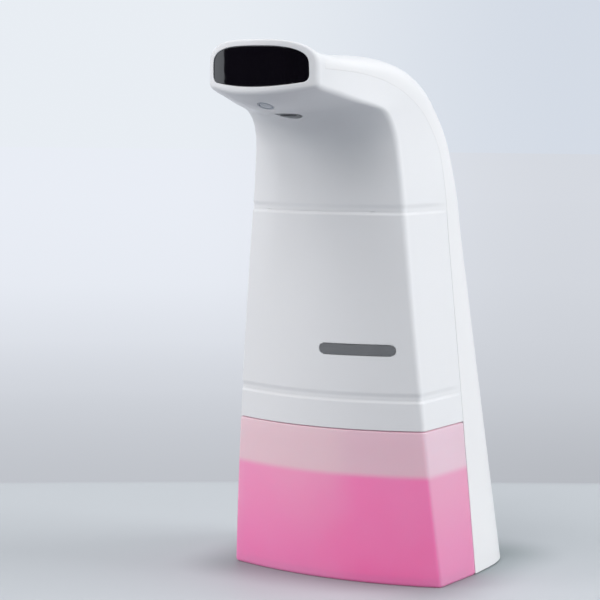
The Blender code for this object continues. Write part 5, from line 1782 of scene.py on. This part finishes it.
inner_white = Finish("inner_white_moulding", (0.76, 0.77, 0.79), 0.5)
inner_white.wear(tone=((0.71, 0.72, 0.75), 60, 3), gloss=(0.42, 0.6, 250, 2), grain=(0.012, 2200, 2))
dress(inner_white, "pump_deck", "spine_sole", "valve_block", "pump_case")

acetal = Finish("natural_acetal", (0.83, 0.81, 0.75), 0.4)
acetal.wear(tone=((0.78, 0.76, 0.69), 200, 2), gloss=(0.34, 0.5, 600, 2), grain=(0.006, 3000, 1))
dress(acetal, "rocker_plate", "eccentric")
dress(silicone, "diaphragm", "pickup_tube")

# The seal is pale pink silicone, and its pale tone is partly painted light: it keeps the seam between
# collar and tank light, where the gap would otherwise look dark.
seal = Finish("pale_pink_seal", (0.90, 0.66, 0.76), 0.5)
seal.soft(0.3, (1.0, 0.7, 0.8), 2)
seal.wear(tone=((0.86, 0.61, 0.71), 150, 2), gloss=(0.42, 0.6, 400, 2), grain=(0.01, 1500, 1))
dress(seal, "tank_gasket")
dress(plated, "lower_contacts", "upper_contacts")
print("moulded inner pieces are dressed")

# %% [markdown]
# The motor's can is drawn steel, brushed round its axis. Its noise is stretched far less in height
# than across, which gives fine level lines.

# %% Motor and dark mouldings
motor_steel = Finish("drawn_motor_can", (0.58, 0.59, 0.61), 0.34, metallic=1.0)
motor_steel.set("Anisotropic", 0.3)
motor_steel.wear(tone=((0.50, 0.51, 0.53), 60, 2, (0.1, 0.1, 30)), gloss=(0.29, 0.42, 200, 2),
                 grain=(0.01, 90, 2, (0.1, 0.1, 60)))
dress(motor_steel, "pump_motor")

dark_moulding = Finish("dark_matte_moulding", (0.075, 0.077, 0.083), 0.55)
dark_moulding.wear(tone=((0.095, 0.097, 0.103), 150, 3), gloss=(0.46, 0.66, 500, 2),
                   grain=(0.02, 3500, 2))
dress(dark_moulding, "battery_tray", "power_switch")
print("motor and tray are dressed")

# %% [markdown]
# A circuit board is green solder mask over copper. The tracks lie under the mask as slightly paler
# lines, and the pads are tinned dots. A brick pattern draws the tracks, and a cell pattern the dots.

# %% Circuit boards
board_green = Finish("green_solder_mask", (0.02, 0.13, 0.055), 0.35)
upright = board_green.add("ShaderNodeMapping", {"Vector": board_green.place,
                                                "Rotation": (math.pi / 2, 0, 0)})[0]
tracks = board_green.add("ShaderNodeTexBrick", {"Vector": upright, "Scale": 260, "Mortar Size": 0.06})
dots = board_green.add("ShaderNodeTexVoronoi", {"Vector": upright, "Scale": 420})
under_mask = board_green.blend(tracks["Fac"], board_green.colour, (0.05, 0.24, 0.11))
pads = board_green.spread(dots["Distance"], 0.22, 0.18)
board_green.set("Base Color", board_green.blend(pads, under_mask, (0.62, 0.62, 0.60)))
board_green.relief(tracks["Fac"], 0.02 * MM)
dress(board_green, "main_board", "sensor_board")
print("CAD nodes shown:", sorted(name for name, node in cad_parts.items() if not node.hide_render))

# %% [markdown]
# The camera stands in front of the object, about 30 degrees round towards +X and a little above the
# table, with a long lens. Its place was worked out from the edges in the photograph.

# %% Camera
CAMERA_PLACE = Vector((357.74, -659.60, 181.98)) * MM
CAMERA_AZIMUTH = math.radians(30.411)
CAMERA_PITCH = math.radians(-6.088)
CAMERA_ROLL = math.radians(-0.3)
CAMERA_LENS = 117.99

looking = Vector((-math.sin(CAMERA_AZIMUTH) * math.cos(CAMERA_PITCH),
                  math.cos(CAMERA_AZIMUTH) * math.cos(CAMERA_PITCH), math.sin(CAMERA_PITCH)))
level_right = Vector((math.cos(CAMERA_AZIMUTH), math.sin(CAMERA_AZIMUTH), 0))
level_up = level_right.cross(looking)
camera_right = math.cos(CAMERA_ROLL) * level_right + math.sin(CAMERA_ROLL) * level_up
camera_up = math.cos(CAMERA_ROLL) * level_up - math.sin(CAMERA_ROLL) * level_right
camera_data = bpy.data.cameras.new("camera")
camera_data.lens = CAMERA_LENS
camera = bpy.data.objects.new("camera", camera_data)
turn = Matrix((camera_right, camera_up, -looking)).transposed()
camera.matrix_world = Matrix.Translation(CAMERA_PLACE) @ turn.to_4x4()
bpy.context.scene.collection.objects.link(camera)
bpy.context.scene.camera = camera
print("camera lens", CAMERA_LENS, "mm")

# %% [markdown]
# The table's far end and the wall have colours of their own, so no lamp has to be brightened for
# them, and the light on the object is left alone. Both get darker towards the right.


# %% Who sees the backdrop, and from where
def seen_directly(nodes):
    """One for rays of the camera, of reflections and of glass, and nought for lighting."""
    path = nodes.add("ShaderNodeLightPath")
    seen = nodes.calculate("Math", "ADD", path["Is Camera Ray"], path["Is Glossy Ray"])[0]
    return nodes.calculate("Math", "ADD", seen, path["Is Transmission Ray"], use_clamp=True)[0]


def towards_right(nodes, place, origin):
    """Nought straight ahead of the camera's place, and one well to the right of it."""
    offset = nodes.calculate("VectorMath", "SUBTRACT", place, origin)[0]
    way = nodes.calculate("VectorMath", "NORMALIZE", offset)[0]
    aside = nodes.calculate("VectorMath", "DOT_PRODUCT", way, level_right)["Value"]
    return nodes.spread(aside, -0.06, 0.14)


print("right of the camera:", level_right)

# %% [markdown]
# The table is pale. Near the object it is lit like any surface and keeps the shadow. Right beside the
# base its colour is painted darker as well: a painted contact shade, on top of the real shadow.

# %% Table near the object
BASE_MIDDLE = (0, 5 * MM, 0)
BASE_HALF = (38 * MM, 29 * MM, 0)
SHADE_REACH = 32 * MM


def contact_shade_share(nodes):
    """Nought close to the base and one a few centimetres away: the mask of the painted contact shade."""
    middle = nodes.calculate("VectorMath", "SUBTRACT", nodes.place, BASE_MIDDLE)[0]
    one_side = nodes.calculate("VectorMath", "ABSOLUTE", middle)[0]
    beyond = nodes.calculate("VectorMath", "SUBTRACT", one_side, BASE_HALF)[0]
    outside = nodes.calculate("VectorMath", "MAXIMUM", beyond, (0, 0, 0))[0]
    away = nodes.calculate("VectorMath", "LENGTH", outside)["Value"]
    return nodes.spread(away, 0, SHADE_REACH)


pale = Finish("pale_table", (0.52, 0.545, 0.585), 0.6)
pale.set("Specular IOR Level", 0.25)
table_tone = pale.blend(pale.noise(5, 2), (0.490, 0.520, 0.547), (0.511, 0.541, 0.568))
# Painted contact shade: a darker tone in the table's colour close to the base.
shaded_tone = pale.blend(contact_shade_share(pale), (0.29, 0.325, 0.34), table_tone)
pale.set("Base Color", pale.blend(seen_directly(pale), (0.30, 0.315, 0.34), shaded_tone))
print("contact shade reaches", SHADE_REACH / MM, "mm")

# %% [markdown]
# Well behind the object the table falls off into the tone of a wall. One ramp holds the tones of
# that soft edge for the left of the view, and one for the right.

# %% Table far behind the object
SHELF_CENTRE = Vector((1.815, -3.393, 0))
SHELF_EDGE = 4.0
SHELF_FALL = 2.4
SHELF_BLUR = 0.004
WALL_TINT = (0.97, 1.01, 1.09)
LEFT_TONES = ((0, .54), (.03, .56), (.07, .60), (.12, .65), (.22, .745), (.4, .83), (.95, .84))
RIGHT_TONES = ((0, .49), (.03, .51), (.07, .55), (.12, .60), (.22, .635), (.4, .67), (.95, .69))

away = pale.calculate("VectorMath", "DISTANCE", pale.place, SHELF_CENTRE)["Value"]
far_share = pale.spread(away, SHELF_EDGE, SHELF_EDGE + SHELF_FALL, ease="LINEAR")
sides = []
for tones in (LEFT_TONES, RIGHT_TONES):
    ramp = pale.tree.nodes.new("ShaderNodeValToRGB")
    pale.feed(ramp.inputs["Fac"], far_share)
    ramp.color_ramp.interpolation = "B_SPLINE"
    stops = ramp.color_ramp.elements
    for index, (share, grey) in enumerate(tones):
        stop = stops.new(share) if index else stops[0]
        stop.position = share
        stop.color = (*[grey * part for part in WALL_TINT], 1)
    stops.remove(stops[-1])
    sides.append(ramp.outputs["Color"])
far_tone = pale.blend(towards_right(pale, pale.place, CAMERA_PLACE), *sides)
wall_light = pale.add("ShaderNodeEmission", {"Color": far_tone, "Strength": seen_directly(pale)})[0]
far = pale.spread(away, SHELF_EDGE - SHELF_BLUR, SHELF_EDGE + SHELF_BLUR)
pale.surface("Material Output", far, pale.shader.outputs["BSDF"], wall_light)
print("the far edge is an arc of", SHELF_EDGE, "m radius")

# %% [markdown]
# The floor itself is one large, flat sheet, and part of the stage. The world lights the scene
# evenly with a cool, weak tone. What is seen of it directly, above the floor, has the wall's tone.

# %% Floor and world
FLOOR_SIZE = 9.0
AMBIENT_STRENGTH = 0.42

bm = bmesh.new()
bmesh.ops.create_grid(bm, x_segments=8, y_segments=8, size=FLOOR_SIZE / 2)
table = bpy.data.objects.new("pale_table", finished("pale_table", bm))
table.data.materials.append(pale.material)
bpy.context.scene.collection.objects.link(table)

world = bpy.data.worlds.new("studio")
world.use_nodes = True
sky = NodeTree(world.node_tree)
ambient = sky.tree.nodes["Background"]
ambient.inputs["Color"].default_value = (0.93, 0.96, 1.0, 1)
ambient.inputs["Strength"].default_value = AMBIENT_STRENGTH
direction = sky.add("ShaderNodeTexCoord")["Generated"]
wall_tone = sky.blend(towards_right(sky, direction, (0, 0, 0)), (0.81, 0.85, 0.90), (0.66, 0.71, 0.79))
backdrop = sky.add("ShaderNodeBackground", {"Color": wall_tone})[0]
sky.surface("World Output", seen_directly(sky), ambient.outputs["Background"], backdrop)
bpy.context.scene.world = world
bpy.context.scene.view_settings.view_transform = "Standard"
print("floor is", FLOOR_SIZE, "m wide, world strength", AMBIENT_STRENGTH)

# %% [markdown]
# Large soft lamps give the housing its gradients. The strong one stands to the right and makes
# the side nearly white, and a weaker one at the left lifts the front face. Each lamp has a name, a
# place, the width and height of its face, a power and a colour.

# %% Lamps
OBJECT_MIDDLE = Vector((0, -0.01, 0.11))
WHITE = (1, 1, 1)
WARM_WHITE = (1.0, 0.98, 0.98)
LAMPS = (("right_lamp", (1.3, 0.55, 0.6), (0.9, 0.9), 17.3, WHITE),
         ("left_lamp", (-1.1, -0.9, 0.75), (0.8, 0.8), 9.3, WARM_WHITE),
         ("front_lamp", (-0.1, -1.15, 1.35), (1.0, 1.0), 10.5, WARM_WHITE),
         ("top_lamp", (0.1, 0.05, 1.6), (1.2, 1.2), 2.5, WHITE),
         ("back_lamp", (-0.4, 1.3, 1.0), (1.2, 0.8), 3.3, WHITE))

for name, place, size, power, colour in LAMPS:
    data = bpy.data.lights.new(name, "AREA")
    data.shape = "RECTANGLE"
    data.size, data.size_y = size
    data.energy = power
    data.color = colour
    lamp = bpy.data.objects.new(name, data)
    lamp.location = place
    lamp.rotation_euler = (OBJECT_MIDDLE - Vector(place)).to_track_quat("-Z", "Y").to_euler()
    lamp.visible_glossy = False
    bpy.context.scene.collection.objects.link(lamp)
print("lamps:", [lamp[0] for lamp in LAMPS])

# %% [markdown]
# The window is so glossy that it looks like whatever stands before it. A dark card, bent round the
# front and seen only in reflections, keeps it black, and leaves one bright band at its left end.

# %% Dark card for reflections
CARD_RADIUS = 1.0
CARD_START = math.radians(-157)
CARD_END = math.radians(-55)
CARD_BOTTOM = 0.002
CARD_TOP = 0.75

card_angles = np.linspace(CARD_START, CARD_END, 25)
bm = bmesh.new()
card_low, card_high = [[bm.verts.new((CARD_RADIUS * math.cos(angle), CARD_RADIUS * math.sin(angle), z))
                        for angle in card_angles] for z in (CARD_BOTTOM, CARD_TOP)]
for k in range(len(card_angles) - 1):
    bm.faces.new((card_low[k], card_low[k + 1], card_high[k + 1], card_high[k]))
dark_felt = Finish("dark_felt", (0.004, 0.004, 0.005), 0.95)
dark_felt.tint(dark_felt.noise(20), (0.008, 0.008, 0.009))
card = bpy.data.objects.new("dark_card", finished("dark_card", bm))
card.data.materials.append(dark_felt.material)
card.visible_camera = False
card.visible_diffuse = False
card.visible_transmission = False
card.visible_shadow = False
bpy.context.scene.collection.objects.link(card)
print("card spans", round(math.degrees(CARD_END - CARD_START)), "degrees")
